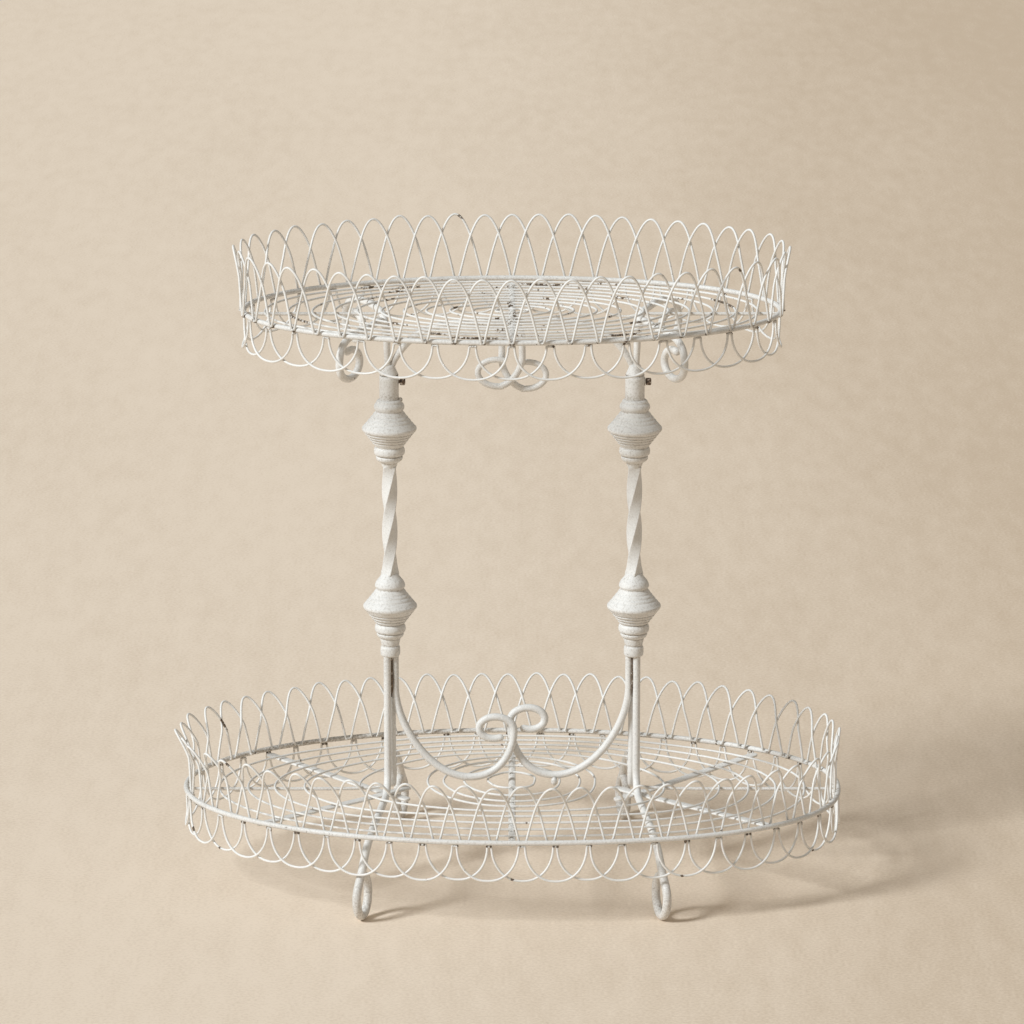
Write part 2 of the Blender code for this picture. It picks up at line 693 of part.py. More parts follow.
def add_plugs(parent, socket_top):
    """Plugs that stand in the sockets and gather the upper rods, and the height of their tops."""
    shoulder = socket_top + GAP
    top = shoulder + PLUG_CAP_HEIGHT
    profile = [(PLUG_RADIUS, socket_top - PLUG_LENGTH), (PLUG_RADIUS, shoulder),
               (SOCKET_RADIUS, shoulder), (PLUG_CAP_RADIUS, top)]
    for side, sign in SIDES.items():
        add(f"plug_{side}", turned(profile), WHITE_CASTING, parent, (sign * COLUMN_HALF_SPACING, 0.0, 0.0))
    return top


def lower_oval_sizes():
    """Half-sizes of the lower floor's ovals, which leave a way for the columns' rods."""
    outer_end = COLUMN_HALF_SPACING + COLUMN_CLEAR_WAY
    inner_end = COLUMN_HALF_SPACING - COLUMN_CLEAR_WAY
    outer_step = (LOWER_HALF_LENGTH - outer_end) / OUTER_OVALS
    inner_step = inner_end / INNER_OVALS
    depth_step = LOWER_HALF_WIDTH / (OUTER_OVALS + INNER_OVALS + 0.6)
    lengths = [LOWER_HALF_LENGTH - outer_step * i for i in range(1, OUTER_OVALS + 1)]
    lengths += [inner_end - inner_step * i for i in range(INNER_OVALS)]
    return [(length, LOWER_HALF_WIDTH - depth_step * i) for i, length in enumerate(lengths, 1)]


def upper_oval_sizes():
    """Half-sizes of the upper floor's ovals."""
    shares = [1.0 - i / (UPPER_OVALS + 0.6) for i in range(1, UPPER_OVALS + 1)]
    return [(UPPER_HALF_LENGTH * share, UPPER_HALF_WIDTH * share) for share in shares]


def main():
    """Build the stand from the floor up."""
    for thing in list(bpy.data.objects):
        bpy.data.objects.remove(thing)
    stand = add_empty("plant_stand")
    upper = add_empty("upper_tray_lift", stand)
    end_rod_start = COLUMN_HALF_SPACING + BUNDLE / 2 + ROD + 2.0 * GAP

    lower_tray = Tray(LOWER_HALF_LENGTH, LOWER_HALF_WIDTH, LOWER_RIM_HEIGHT, LOWER_ARCH_SPACING)
    inside = -(RIM + GAP + WIRE)
    add_fence(lower_tray, "lower", stand, LOWER_ARCH_HEIGHT, inside, LOWER_FLARE,
              LOWER_SCALLOP_DEPTH, LOWER_SCALLOP_SPACING)
    add_floor(lower_tray, "lower", stand, lower_oval_sizes(), end_rod_start)
    leg_run = lower_tray.support_top - ROD * ROD_FLAT
    add_straps(lower_tray, stand)
    rods_top = FOOT_TURNING_Z + RECESS_DEPTH - GAP
    lowest_share = math.sin(2.0 * CURL_STEP)
    foot_centre = ROD * ROD_FLAT + FOOT_HALF_HEIGHT * lowest_share
    feet = (("front", FRONT_FOOT_X, FRONT_FOOT_TURN), ("rear", REAR_FOOT_X, REAR_FOOT_TURN))
    add_curled_rods(lower_tray, "leg", stand, feet, rods_top, leg_run, LEG_BEND, foot_centre,
                    FOOT_HALF_DEPTH, FOOT_HALF_HEIGHT, FOOT_TIGHTENING, FOOT_CLEARANCE, True)
    add_lower_scrolls(lower_tray, stand, rods_top)

    socket_top = UPPER_RIM_HEIGHT - UPPER_RISE
    add_columns(stand, socket_top)

    upper_tray = Tray(UPPER_HALF_LENGTH, UPPER_HALF_WIDTH, UPPER_RIM_HEIGHT, UPPER_ARCH_SPACING)
    outside = RIM + GAP + WIRE * WIRE_BACK
    add_fence(upper_tray, "upper", upper, UPPER_ARCH_HEIGHT, outside, UPPER_FLARE,
              UPPER_SCALLOP_DEPTH, UPPER_SCALLOP_SPACING)
    add_floor(upper_tray, "upper", upper, upper_oval_sizes(), end_rod_start)
    plug_top = add_plugs(upper, socket_top)
    rods_bottom = plug_top + GAP
    bracket_run = upper_tray.support_top - ROD * ROD_FLAT
    bracket_centre = bracket_run - ROD_DIAMETER - BRACKET_HEADROOM - BRACKET_HALF_HEIGHT
    curls = (("front", BRACKET_CURL_X, BRACKET_TURN), ("rear", BRACKET_CURL_X, BRACKET_TURN))
    add_curled_rods(upper_tray, "bracket", upper, curls, rods_bottom, bracket_run, BRACKET_BEND,
                    bracket_centre, BRACKET_HALF_DEPTH, BRACKET_HALF_HEIGHT, BRACKET_TIGHTENING,
                    BRACKET_CLEARANCE, False)
    add_upper_scrolls(upper_tray, upper, rods_bottom)


main()
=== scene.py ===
"""Looks of a two-tier oval wirework plant stand in chipped off-white paint.

Units are metres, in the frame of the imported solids: +X runs along the trays' long axis, the front is
-Y, and +Z is up from the floor. A round, painted piece of the same size and place stands for each solid.
"""

import logging
import math
from dataclasses import dataclass, field
from enum import Enum
from functools import cached_property
from typing import Any, Sequence

import bpy
import numpy as np
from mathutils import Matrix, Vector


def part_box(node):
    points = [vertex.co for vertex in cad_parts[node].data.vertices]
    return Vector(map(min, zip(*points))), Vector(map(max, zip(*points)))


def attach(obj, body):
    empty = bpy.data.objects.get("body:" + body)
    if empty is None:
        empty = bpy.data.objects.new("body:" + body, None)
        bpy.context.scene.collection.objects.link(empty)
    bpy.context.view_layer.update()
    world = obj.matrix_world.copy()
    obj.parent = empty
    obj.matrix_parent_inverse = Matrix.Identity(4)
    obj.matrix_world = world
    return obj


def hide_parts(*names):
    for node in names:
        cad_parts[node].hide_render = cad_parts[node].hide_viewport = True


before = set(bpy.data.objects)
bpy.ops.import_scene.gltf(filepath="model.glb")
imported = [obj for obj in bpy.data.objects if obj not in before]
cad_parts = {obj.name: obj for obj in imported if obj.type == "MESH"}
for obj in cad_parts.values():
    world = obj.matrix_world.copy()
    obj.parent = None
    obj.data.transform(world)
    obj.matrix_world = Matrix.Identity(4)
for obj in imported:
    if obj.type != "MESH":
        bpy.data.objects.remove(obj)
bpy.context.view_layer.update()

LOG = logging.getLogger("plant_stand")
Array = np.ndarray
Numbers = Array | float
Colour = tuple[float, float, float]

UP = np.array((0.0, 0.0, 1.0))
ALONG_X = np.array((1.0, 0.0, 0.0))
ALONG_Y = np.array((0.0, 1.0, 0.0))
FULL_TURN = 2.0 * math.pi
MM = 0.001

# Round stock, by radius
WIRE = 1.45 * MM
RIM = 3.1 * MM
ROD = 4.5 * MM
SPINE = 3.2 * MM
END_ROD = 2.1 * MM
BINDING = 0.75 * MM

# Distance between the points of bent rods and straps
PATH_STEP = 2.0 * MM

# Corner radius of the solid rims' faceted stock, which their boxes reach out to
RIM_CORNER = 4.19 * MM

# Place of a rod in the bundle of three under or over a column
BUNDLE = 5.61 * MM

# Levels under a rim's centre line
FLOOR_DROP = RIM - 0.25 * MM
OVAL_DROP = FLOOR_DROP - WIRE


class Side(Enum):
    """A column's side of the stand, with the sign of its X."""

    LEFT = -1.0
    RIGHT = 1.0


class End(Enum):
    """Front or rear of the stand, with the sign of its Y."""

    FRONT = -1.0
    REAR = 1.0


class Layer(Enum):
    """The two wires of a woven row, with the sign of their shift off its middle."""

    OUTER = 1.0
    INNER = -1.0


class Body(Enum):
    """Bodies of the frame that pieces ride on."""

    BASE = "base"
    UPPER = "upper_tray"
    LEFT_SCREW = "left_screw"
    RIGHT_SCREW = "right_screw"


class Slot(Enum):
    """Material slots of the record."""

    WIRE = "painted_wire"
    ROD = "painted_rod"
    CASTING = "painted_casting"
    STEEL = "rusty_steel"


class Axis(Enum):
    """Axis that a turned form is spun about, as the order of its two cross axes and itself."""

    X = (1, 2, 0)
    Z = (0, 1, 2)


def word(option: Enum) -> str:
    """Name of an option as it stands in piece names."""
    return option.name.lower()


def unit(vectors: Array) -> Array:
    """Vectors scaled to length one."""
    return vectors / np.linalg.norm(vectors, axis=-1, keepdims=True)


def bump(distance: Array, width: float) -> Array:
    """A soft hump, one at zero distance and fading out over the width."""
    return np.exp(-((distance / width) ** 2))


def wave(turns: Array, count: float, shift: float) -> Array:
    """Sine of a count of waves round a loop, shifted by a share of one wave."""
    return np.sin(FULL_TURN * (count * turns + shift))


def shares_of(count: int) -> Array:
    """Even shares of a way after its start, up to one."""
    return np.linspace(0.0, 1.0, count + 1)[1:]


def circle(sides: int) -> Array:
    """Points of a circle of radius one, one row each."""
    angles = np.linspace(0.0, FULL_TURN, sides, endpoint=False)
    return np.stack((np.cos(angles), np.sin(angles)), axis=1)


def rounded_bar(width: float, height: float, edge: float, steps: int) -> Array:
    """Outline of a bar with rounded edges.

    Args:
        width: Width of the bar.
        height: Height of the bar.
        edge: Radius of its edges.
        steps: Count of points on each edge.

    Returns:
        Points counter-clockwise from the right side, one row each.
    """
    core = np.array((width / 2.0 - edge, height / 2.0 - edge))
    outline = []
    for quarter, corner in enumerate(((1.0, 1.0), (-1.0, 1.0), (-1.0, -1.0), (1.0, -1.0))):
        for angle in np.linspace(0.0, FULL_TURN / 4.0, steps) + quarter * FULL_TURN / 4.0:
            outline.append(core * corner + edge * np.array((math.cos(angle), math.sin(angle))))
    return np.array(outline)


def way_along(path: Array) -> Array:
    """Distance of each point from the start of a path, along it."""
    return np.concatenate(([0.0], np.cumsum(np.linalg.norm(np.diff(path, axis=0), axis=1))))


def way_to_end(path: Array) -> Array:
    """Distance of each point from the nearer end of a path, along it."""
    way = way_along(path)
    return np.minimum(way, way[-1] - way)


def cubic(start: Sequence[float], leave: Sequence[float], arrive: Sequence[float],
          end: Sequence[float], steps: int = 24) -> Array:
    """Sample a cubic curve.

    Args:
        start: First point, which is left out of the samples.
        leave: Handle that the curve leaves towards.
        arrive: Handle that the curve arrives from.
        end: Last point.
        steps: Count of samples.

    Returns:
        Points after the start, one row each.
    """
    t = shares_of(steps)[:, None]
    s = 1.0 - t
    corners = [np.asarray(point, float) for point in (start, leave, arrive, end)]
    shares = (s ** 3, 3.0 * s * s * t, 3.0 * s * t * t, t ** 3)
    return sum(share * corner for share, corner in zip(shares, corners))


def densify(path: Array, step: float) -> Array:
    """Spread points evenly along a path.

    Args:
        path: Points of an open path, one row each.
        step: Largest distance between the new points.

    Returns:
        The new points, with both ends kept.
    """
    way = way_along(path)
    count = max(2, math.ceil(way[-1] / step) + 1)
    marks = np.linspace(0.0, way[-1], count)
    return np.stack([np.interp(marks, way, column) for column in path.T], axis=1)


def soften(path: Array, rounds: int) -> Array:
    """Round off the kinks of an open path.

    Args:
        path: Points of the path, evenly spread.
        rounds: How often each point moves towards its neighbours.

    Returns:
        The rounded path, with both ends kept.
    """
    for _ in range(rounds):
        middle = (path[:-2] + 2.0 * path[1:-1] + path[2:]) / 4.0
        path = np.concatenate((path[:1], middle, path[-1:]))
    return path


def link(name: str, data: bpy.types.ID) -> bpy.types.Object:
    """Put a mesh, lamp or camera into the scene.

    Args:
        name: Name of the new object.
        data: What the object holds.

    Returns:
        The object.
    """
    thing = bpy.data.objects.new(name, data)
    bpy.context.scene.collection.objects.link(thing)
    return thing


@dataclass(frozen=True)
class Curl:
    """A rod's end rolled into a scroll, which tightens after its first part."""

    half_width: float
    half_height: float
    sweep: float
    tightening: float
    loose: float = math.radians(108)

    def points(self, centre: Sequence[float], turn: float) -> Array:
        """Follow the scroll from its centre's right.

        Args:
            centre: Middle of the scroll in its own plane.
            turn: 1 to roll upwards first, -1 to roll downwards first.

        Returns:
            Points in the scroll's plane after the first.
        """
        angles = np.linspace(0.0, self.sweep, 72)[1:]
        size = 1.0 - self.tightening * np.maximum(0.0, angles - self.loose)
        return np.stack((centre[0] + size * self.half_width * np.cos(turn * angles),
                         centre[1] + size * self.half_height * np.sin(turn * angles)), axis=1)


@dataclass(frozen=True)
class Oval:
    """An ellipse seen from above, followed by its own length from its +X end.

    The power of its front right quarter is above 2 where that quarter is bent fuller.
    """

    half_length: float
    half_width: float
    front_right: float

    def power(self, x: Array, y: Array) -> Array:
        """Power of the quarter that lies in a direction."""
        return np.where((x > 0.0) & (y < 0.0), self.front_right, 2.0)

    def share(self, x: Array, y: Array) -> Array:
        """Measure that is 1 on the oval and smaller inside it."""
        power = self.power(x, y)
        return np.abs(x / self.half_length) ** power + np.abs(y / self.half_width) ** power

    def bend(self, angles: Array, start: float, slope: float) -> tuple[Array, Array]:
        """Cosine and sine of angles, raised by each quarter's power.

        Args:
            angles: Angles round the oval.
            start: Exponent without the power.
            slope: Part of the exponent that the power divides.

        Returns:
            Both, with their signs kept.
        """
        x = np.cos(angles)
        y = np.sin(angles)
        exponent = start + slope / self.power(x, y)
        return np.sign(x) * np.abs(x) ** exponent, np.sign(y) * np.abs(y) ** exponent

    def at(self, turns: Array) -> tuple[Array, Array]:
        """Find points on the oval.

        Args:
            turns: Shares of the whole way round.

        Returns:
            The points at height zero and the outward directions.
        """
        angles = np.linspace(0.0, FULL_TURN, 4001)
        x, y = self.bend(angles, 0.0, 2.0)
        way = way_along(np.stack((self.half_length * x, self.half_width * y), axis=1))
        marks = np.interp(np.asarray(turns) % 1.0 * way[-1], way, angles)
        flat = np.zeros_like(marks)
        x, y = self.bend(marks, 0.0, 2.0)
        points = np.stack((self.half_length * x, self.half_width * y, flat), axis=1)
        x, y = self.bend(marks, 2.0, -2.0)
        outward = np.stack((self.half_width * x, self.half_length * y, flat), axis=1)
        return points, unit(outward)

    @property
    def length(self) -> float:
        """Length of the whole way round."""
        points, _ = self.at(np.linspace(0.0, 1.0, 801)[:-1])
        return float(np.linalg.norm(np.roll(points, -1, 0) - points, axis=1).sum())


@dataclass(frozen=True)
class Signal:
    """A shader socket whose operators add Math nodes to its tree."""

    tree: "ShaderTree"
    socket: bpy.types.NodeSocket

    def __add__(self, other: "Signal | float") -> "Signal":
        """Sum."""
        return self.tree.math("ADD", self, other)

    def __sub__(self, other: "Signal | float") -> "Signal":
        """Difference."""
        return self.tree.math("SUBTRACT", self, other)

    def __rsub__(self, other: float) -> "Signal":
        """Difference from a number on the left."""
        return self.tree.math("SUBTRACT", other, self)

    def __mul__(self, other: "Signal | float") -> "Signal":
        """Product."""
        return self.tree.math("MULTIPLY", self, other)

    __radd__ = __add__
    __rmul__ = __mul__

    def between(self, low: float, high: float) -> "Signal":
        """Soft step.

        Args:
            low: Value that gives 0.
            high: Value that gives 1.

        Returns:
            A number from 0 to 1.
        """
        sockets = {"Value": self, "From Min": low, "From Max": high}
        node = self.tree.node("MapRange", {"interpolation_type": "SMOOTHSTEP"}, sockets)
        return Signal(self.tree, node.outputs[0])


class ShaderTree:
    """The nodes of one material."""

    def __init__(self, name: str) -> None:
        """Start an empty material.

        Args:
            name: Name of the material.
        """
        self.material = bpy.data.materials.new(name)
        self.material.use_nodes = True
        self.nodes = self.material.node_tree.nodes
        self.links = self.material.node_tree.links
        self.nodes.clear()

    def node(self, kind: str, settings: dict[str, Any] | None = None,
             sockets: dict[str | int, Any] | None = None) -> bpy.types.Node:
        """Add a node.

        Args:
            kind: Node type without its ShaderNode prefix.
            settings: Properties of the node, which are set first.
            sockets: Values or signals of its inputs, by name or place.

        Returns:
            The node.
        """
        made = self.nodes.new("ShaderNode" + kind)
        for key, value in (settings or {}).items():
            setattr(made, key, value)
        for key, value in (sockets or {}).items():
            if isinstance(value, Signal):
                self.links.new(value.socket, made.inputs[key])
            else:
                made.inputs[key].default_value = value
        return made

    def math(self, operation: str, *values: Signal | float) -> Signal:
        """Combine numbers by one Math node."""
        node = self.node("Math", {"operation": operation}, dict(enumerate(values)))
        return Signal(self, node.outputs[0])

    def mix(self, share: Signal, first: Signal | Colour, second: Signal | Colour) -> Signal:
        """Blend two colours.

        Args:
            share: Share of the second colour.
            first: Colour where the share is 0.
            second: Colour where the share is 1.

        Returns:
            The blended colour.
        """
        ends = [end if isinstance(end, Signal) else (*end, 1.0) for end in (first, second)]
        node = self.node("Mix", {"data_type": "RGBA"}, {0: share, 6: ends[0], 7: ends[1]})
        return Signal(self, node.outputs[2])

    def place(self) -> Signal:
        """Position on the piece, in metres."""
        return Signal(self, self.node("TexCoord").outputs["Object"])

    def mark(self, name: str) -> Signal:
        """A number stored on the piece's points."""
        return Signal(self, self.node("Attribute", {"attribute_name": name}).outputs["Fac"])

    def noise(self, place: Signal, scale: float, detail: float, roughness: float = 0.55) -> Signal:
        """Noise around one half, by clouds per metre, octaves of finer clouds and their weight."""
        sockets = {"Vector": place, "Scale": scale, "Detail": detail, "Roughness": roughness}
        return Signal(self, self.node("TexNoise", {}, sockets).outputs[0])

    def relief(self, height: Signal, depth: float, strength: float) -> Signal:
        """Normal of a relief, whose height is a share of its depth, by the share that shows."""
        node = self.node("Bump", {}, {"Height": height, "Distance": depth, "Strength": strength})
        return Signal(self, node.outputs[0])

    def surface(self, sockets: dict[str, Any]) -> bpy.types.Material:
        """Close the tree with a Principled shader.

        Args:
            sockets: Values or signals of the shader's inputs.

        Returns:
            The finished material.
        """
        shader = self.node("BsdfPrincipled", {}, sockets)
        output = self.node("OutputMaterial")
        self.links.new(shader.outputs[0], output.inputs["Surface"])
        return self.material


@dataclass(frozen=True)
class ChippedPaint:
    """Old off-white paint on rusty iron, chipped where it is worn, and grey where grime stays and also
    where the grime mark lays in painted shade.
    """

    name: str
    slot: Slot
    chip_scale: float
    chip_level: float
    mottling: float
    gloss_roughness: float
    relief_depth: float
    speckle: float
    pitting: float
    paint: Colour
    aged: Colour = (0.60, 0.58, 0.545)
    # Colour of grime, which also serves as painted shade where the grime mark carries it
    dirt_and_shade: Colour = (0.33, 0.28, 0.22)
    rust: Colour = (0.26, 0.19, 0.13)
    iron: Colour = (0.085, 0.064, 0.048)
    wear_share: float = 0.42
    chip_edge: float = 0.03
    halo: float = 0.055
    cloud_scale: float = 26.0
    mottle_scale: float = 420.0
    grain_scale: float = 850.0

    @cached_property
    def material(self) -> bpy.types.Material:
        """Mix the paint's node material, once.

        Returns:
            The material.
        """
        tree = ShaderTree(self.name)
        place = tree.place()
        wear = tree.mark("wear")
        grime = tree.mark("grime")
        clouds = tree.noise(place, self.cloud_scale, 3.0)
        mottle = tree.noise(place, self.mottle_scale, 4.0, 0.65)
        grain = tree.noise(place, self.grain_scale, 2.0)
        flakes = tree.noise(place, self.chip_scale, 4.0, 0.6)
        level = flakes + self.wear_share * wear + 0.10 * clouds
        bare = level.between(self.chip_level, self.chip_level + self.chip_edge)
        stained = level.between(self.chip_level - self.halo, self.chip_level + self.chip_edge)

        aging = 0.28 * clouds.between(0.48, 0.76) + self.mottling * mottle.between(0.50, 0.76)
        coat = tree.mix(aging + self.speckle * grain.between(0.42, 0.72), self.paint, self.aged)
        # The grime mark holds real grime and also painted shade, on the rims' rear left; pitting adds
        # fine grey specks
        dust_and_shade = grime * mottle.between(0.30, 0.62) + self.pitting * mottle.between(0.47, 0.68)
        coat = tree.mix(dust_and_shade, coat, self.dirt_and_shade)
        coat = tree.mix(0.8 * stained, coat, self.rust)
        metal = tree.mix(grain.between(0.42, 0.70), self.iron, self.rust)
        colour = tree.mix(bare, coat, metal)
        roughness = self.gloss_roughness + 0.14 * mottle + 0.30 * bare + 0.15 * dust_and_shade
        height = 0.55 * mottle + 0.15 * grain + 0.25 * clouds - 0.8 * bare
        return tree.surface({
            "Base Color": colour,
            "Roughness": roughness,
            "Normal": tree.relief(height, self.relief_depth, 0.7),
            "IOR": 1.47,
        })


@dataclass(frozen=True)
class RustyIron:
    """Bare iron gone brown and black."""

    name: str
    slot: Slot
    dark: Colour = (0.035, 0.028, 0.024)
    brown: Colour = (0.17, 0.11, 0.07)
    dusty: Colour = (0.60, 0.55, 0.48)
    patch_scale: float = 360.0
    grain_scale: float = 1700.0
    relief_depth: float = 0.5 * MM

    @cached_property
    def material(self) -> bpy.types.Material:
        """Mix the iron's node material, once.

        Returns:
            The material.
        """
        tree = ShaderTree(self.name)
        place = tree.place()
        grime = tree.mark("grime")
        patches = tree.noise(place, self.patch_scale, 4.0, 0.6)
        grain = tree.noise(place, self.grain_scale, 3.0)
        colour = tree.mix(patches.between(0.36, 0.52), self.dark, self.brown)
        colour = tree.mix(patches.between(0.53, 0.62) * (1.0 - 0.7 * grime), colour, self.dusty)
        return tree.surface({
            "Base Color": colour,
            "Roughness": 0.55 + 0.35 * patches,
            "Metallic": 0.35 * (1.0 - patches.between(0.40, 0.60)),
            "Normal": tree.relief(0.6 * patches + 0.4 * grain, self.relief_depth, 0.8),
        })


WIRE_PAINT = ChippedPaint(
    "wire_paint", Slot.WIRE, chip_scale=210.0, chip_level=0.84, mottling=0.18, gloss_roughness=0.42,
    relief_depth=0.20 * MM, speckle=0.30, pitting=0.0, paint=(0.87, 0.858, 0.83))
ROD_PAINT = ChippedPaint(
    "rod_paint", Slot.ROD, chip_scale=230.0, chip_level=0.86, mottling=0.30, gloss_roughness=0.42,
    relief_depth=0.30 * MM, speckle=0.40, pitting=0.12, paint=(0.82, 0.807, 0.78))
CASTING_PAINT = ChippedPaint(
    "casting_paint", Slot.CASTING, chip_scale=190.0, chip_level=0.88, mottling=0.40, gloss_roughness=0.50,
    relief_depth=0.50 * MM, speckle=0.40, pitting=0.30, paint=(0.80, 0.787, 0.76))
IRON = RustyIron("rusty_iron", Slot.STEEL)
Finish = ChippedPaint | RustyIron


class MeshDraft:
    """Points and faces of one piece, with the wear and grime of each point."""

    def __init__(self) -> None:
        """Start with no points."""
        self.points: list[Array] = []
        self.faces: list[list[int]] = []
        self.marks: dict[str, list[Array]] = {"wear": [], "grime": []}
        self.count = 0

    def skin(self, rings: Array, wear: Numbers, grime: Numbers,
             closed: bool = False) -> None:
        """Skin rings into one closed body.

        Args:
            rings: Points by ring and place, counter-clockwise about the way the rings run.
            wear: Wear of all points, of each ring, or of each point.
            grime: Grime in the same forms.
            closed: Whether the last ring joins the first.
        """
        count, sides = rings.shape[:2]
        index = self.count + np.arange(count * sides).reshape(count, sides)
        near = index if closed else index[:-1]
        far = np.roll(index, -1, 0) if closed else index[1:]
        quads = np.stack((near, np.roll(near, -1, 1), np.roll(far, -1, 1), far), axis=-1)
        self.faces += quads.reshape(-1, 4).tolist()
        if not closed:
            self.faces.append(index[0][::-1].tolist())
            self.faces.append(index[-1].tolist())
        self.points.append(rings.reshape(-1, 3))
        for name, value in (("wear", wear), ("grime", grime)):
            value = np.asarray(value, float)
            if value.ndim == 1:
                value = value[:, None]
            self.marks[name].append(np.broadcast_to(value, (count, sides)).ravel())
        self.count += count * sides

    def sweep(self, path: Array, guides: Array, outline: Array, wear: Numbers, grime: Numbers,
              closed: bool = False) -> None:
        """Carry an outline along a path.

        Args:
            path: Points of the centre line.
            guides: Direction of the outline's first axis, one for all or one for each point.
            outline: Points of the outline, one for all or one for each point of the path.
            wear: Wear, one for all or one for each point of the path.
            grime: Grime in the same forms.
            closed: Whether the path is a loop.
        """
        if closed:
            along = np.roll(path, -1, 0) - np.roll(path, 1, 0)
        else:
            along = np.gradient(path, axis=0)
        along = unit(along)
        guides = np.broadcast_to(guides, path.shape)
        first = unit(guides - along * np.sum(guides * along, axis=1, keepdims=True))
        second = np.cross(along, first)
        u = outline[..., 0, None]
        v = outline[..., 1, None]
        rings = path[:, None] + u * first[:, None] + v * second[:, None]
        self.skin(rings, wear, grime, closed)

    def rod(self, path: Array, guides: Array, radius: Numbers, sides: int, wear: Numbers,
            grime: Numbers, closed: bool = False) -> None:
        """Carry a circle along a path, with domed ends on an open one.

        Args:
            path: Points of the centre line.
            guides: Direction held steady round the rod.
            radius: Radius, one for all or one for each point.
            sides: Facets round the rod.
            wear: Wear, one for all or one for each point.
            grime: Grime in the same forms.
            closed: Whether the path is a loop.
        """
        count = len(path)
        radii = np.broadcast_to(radius, count).astype(float)
        guides = np.broadcast_to(guides, path.shape)
        wear = np.broadcast_to(wear, count)
        grime = np.broadcast_to(grime, count)
        if not closed:
            dome = np.radians((25.0, 50.0, 75.0))
            head = unit(path[0] - path[1])
            tail = unit(path[-1] - path[-2])
            before = path[0] + radii[0] * np.sin(dome[::-1])[:, None] * head
            after = path[-1] + radii[-1] * np.sin(dome)[:, None] * tail
            path = np.concatenate((before, path, after))
            radii = np.concatenate((radii[0] * np.cos(dome[::-1]), radii, radii[-1] * np.cos(dome)))
            pad = (len(dome), len(dome))
            guides = np.pad(guides, (pad, (0, 0)), mode="edge")
            wear = np.pad(wear, pad, mode="edge")
            grime = np.pad(grime, pad, mode="edge")
        self.sweep(path, guides, radii[:, None, None] * circle(sides), wear, grime, closed)

    def turned(self, profile: Array, origin: Sequence[float], wear: Numbers, grime: Numbers,
               axis: Axis = Axis.Z, sides: int = 64) -> None:
        """Spin a profile.

        Args:
            profile: Radius and height of each point, up the outside.
            origin: Where height zero of the axis lies.
            wear: Wear, one for all or one for each point of the profile.
            grime: Grime in the same forms.
            axis: Axis to spin about.
            sides: Facets round the form.
        """
        across, up, along = axis.value
        ring = circle(sides)
        rings = np.zeros((len(profile), sides, 3))
        rings[..., across] = profile[:, :1] * ring[:, 0]
        rings[..., up] = profile[:, :1] * ring[:, 1]
        rings[..., along] = profile[:, 1:]
        self.skin(rings + np.asarray(origin, float), wear, grime)

    def lump(self, centre: Array, outward: Array, radius: float, height: float, wear: float,
             grime: float) -> None:
        """Add a rounded drop or lug.

        Args:
            centre: Middle of the drop.
            outward: Direction of its height.
            radius: Radius across the outward direction.
            height: Half of its height.
            wear: Wear of its points.
            grime: Grime of its points.
        """
        rise = np.sin(np.radians((-72.0, -36.0, 0.0, 36.0, 72.0)))
        path = centre + outward * (height * rise)[:, None]
        radii = radius * np.sqrt(1.0 - rise ** 2)
        guide = UP if abs(outward[2]) < 0.8 else ALONG_X
        self.sweep(path, guide, radii[:, None, None] * circle(8), wear, grime)

    def piece(self, name: str, finish: Finish, body: Body, *nodes: str) -> bpy.types.Object:
        """Make the draft a piece of the stand.

        Args:
            name: Name of the piece.
            finish: Its finish.
            body: Body that it rides on.
            nodes: Solids that it stands for.

        Returns:
            The piece.
        """
        mesh = bpy.data.meshes.new(name)
        mesh.from_pydata(np.concatenate(self.points).tolist(), [], self.faces)
        for mark, values in self.marks.items():
            layer = mesh.attributes.new(mark, "FLOAT", "POINT")
            layer.data.foreach_set("value", np.concatenate(values).astype(np.float32))
        mesh.shade_smooth()
        mesh.set_sharp_from_angle(angle=math.radians(55))
        mesh.materials.append(finish.material)
        thing = link(name, mesh)
        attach(thing, body.value)
        if nodes:
            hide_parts(*nodes)
        return thing


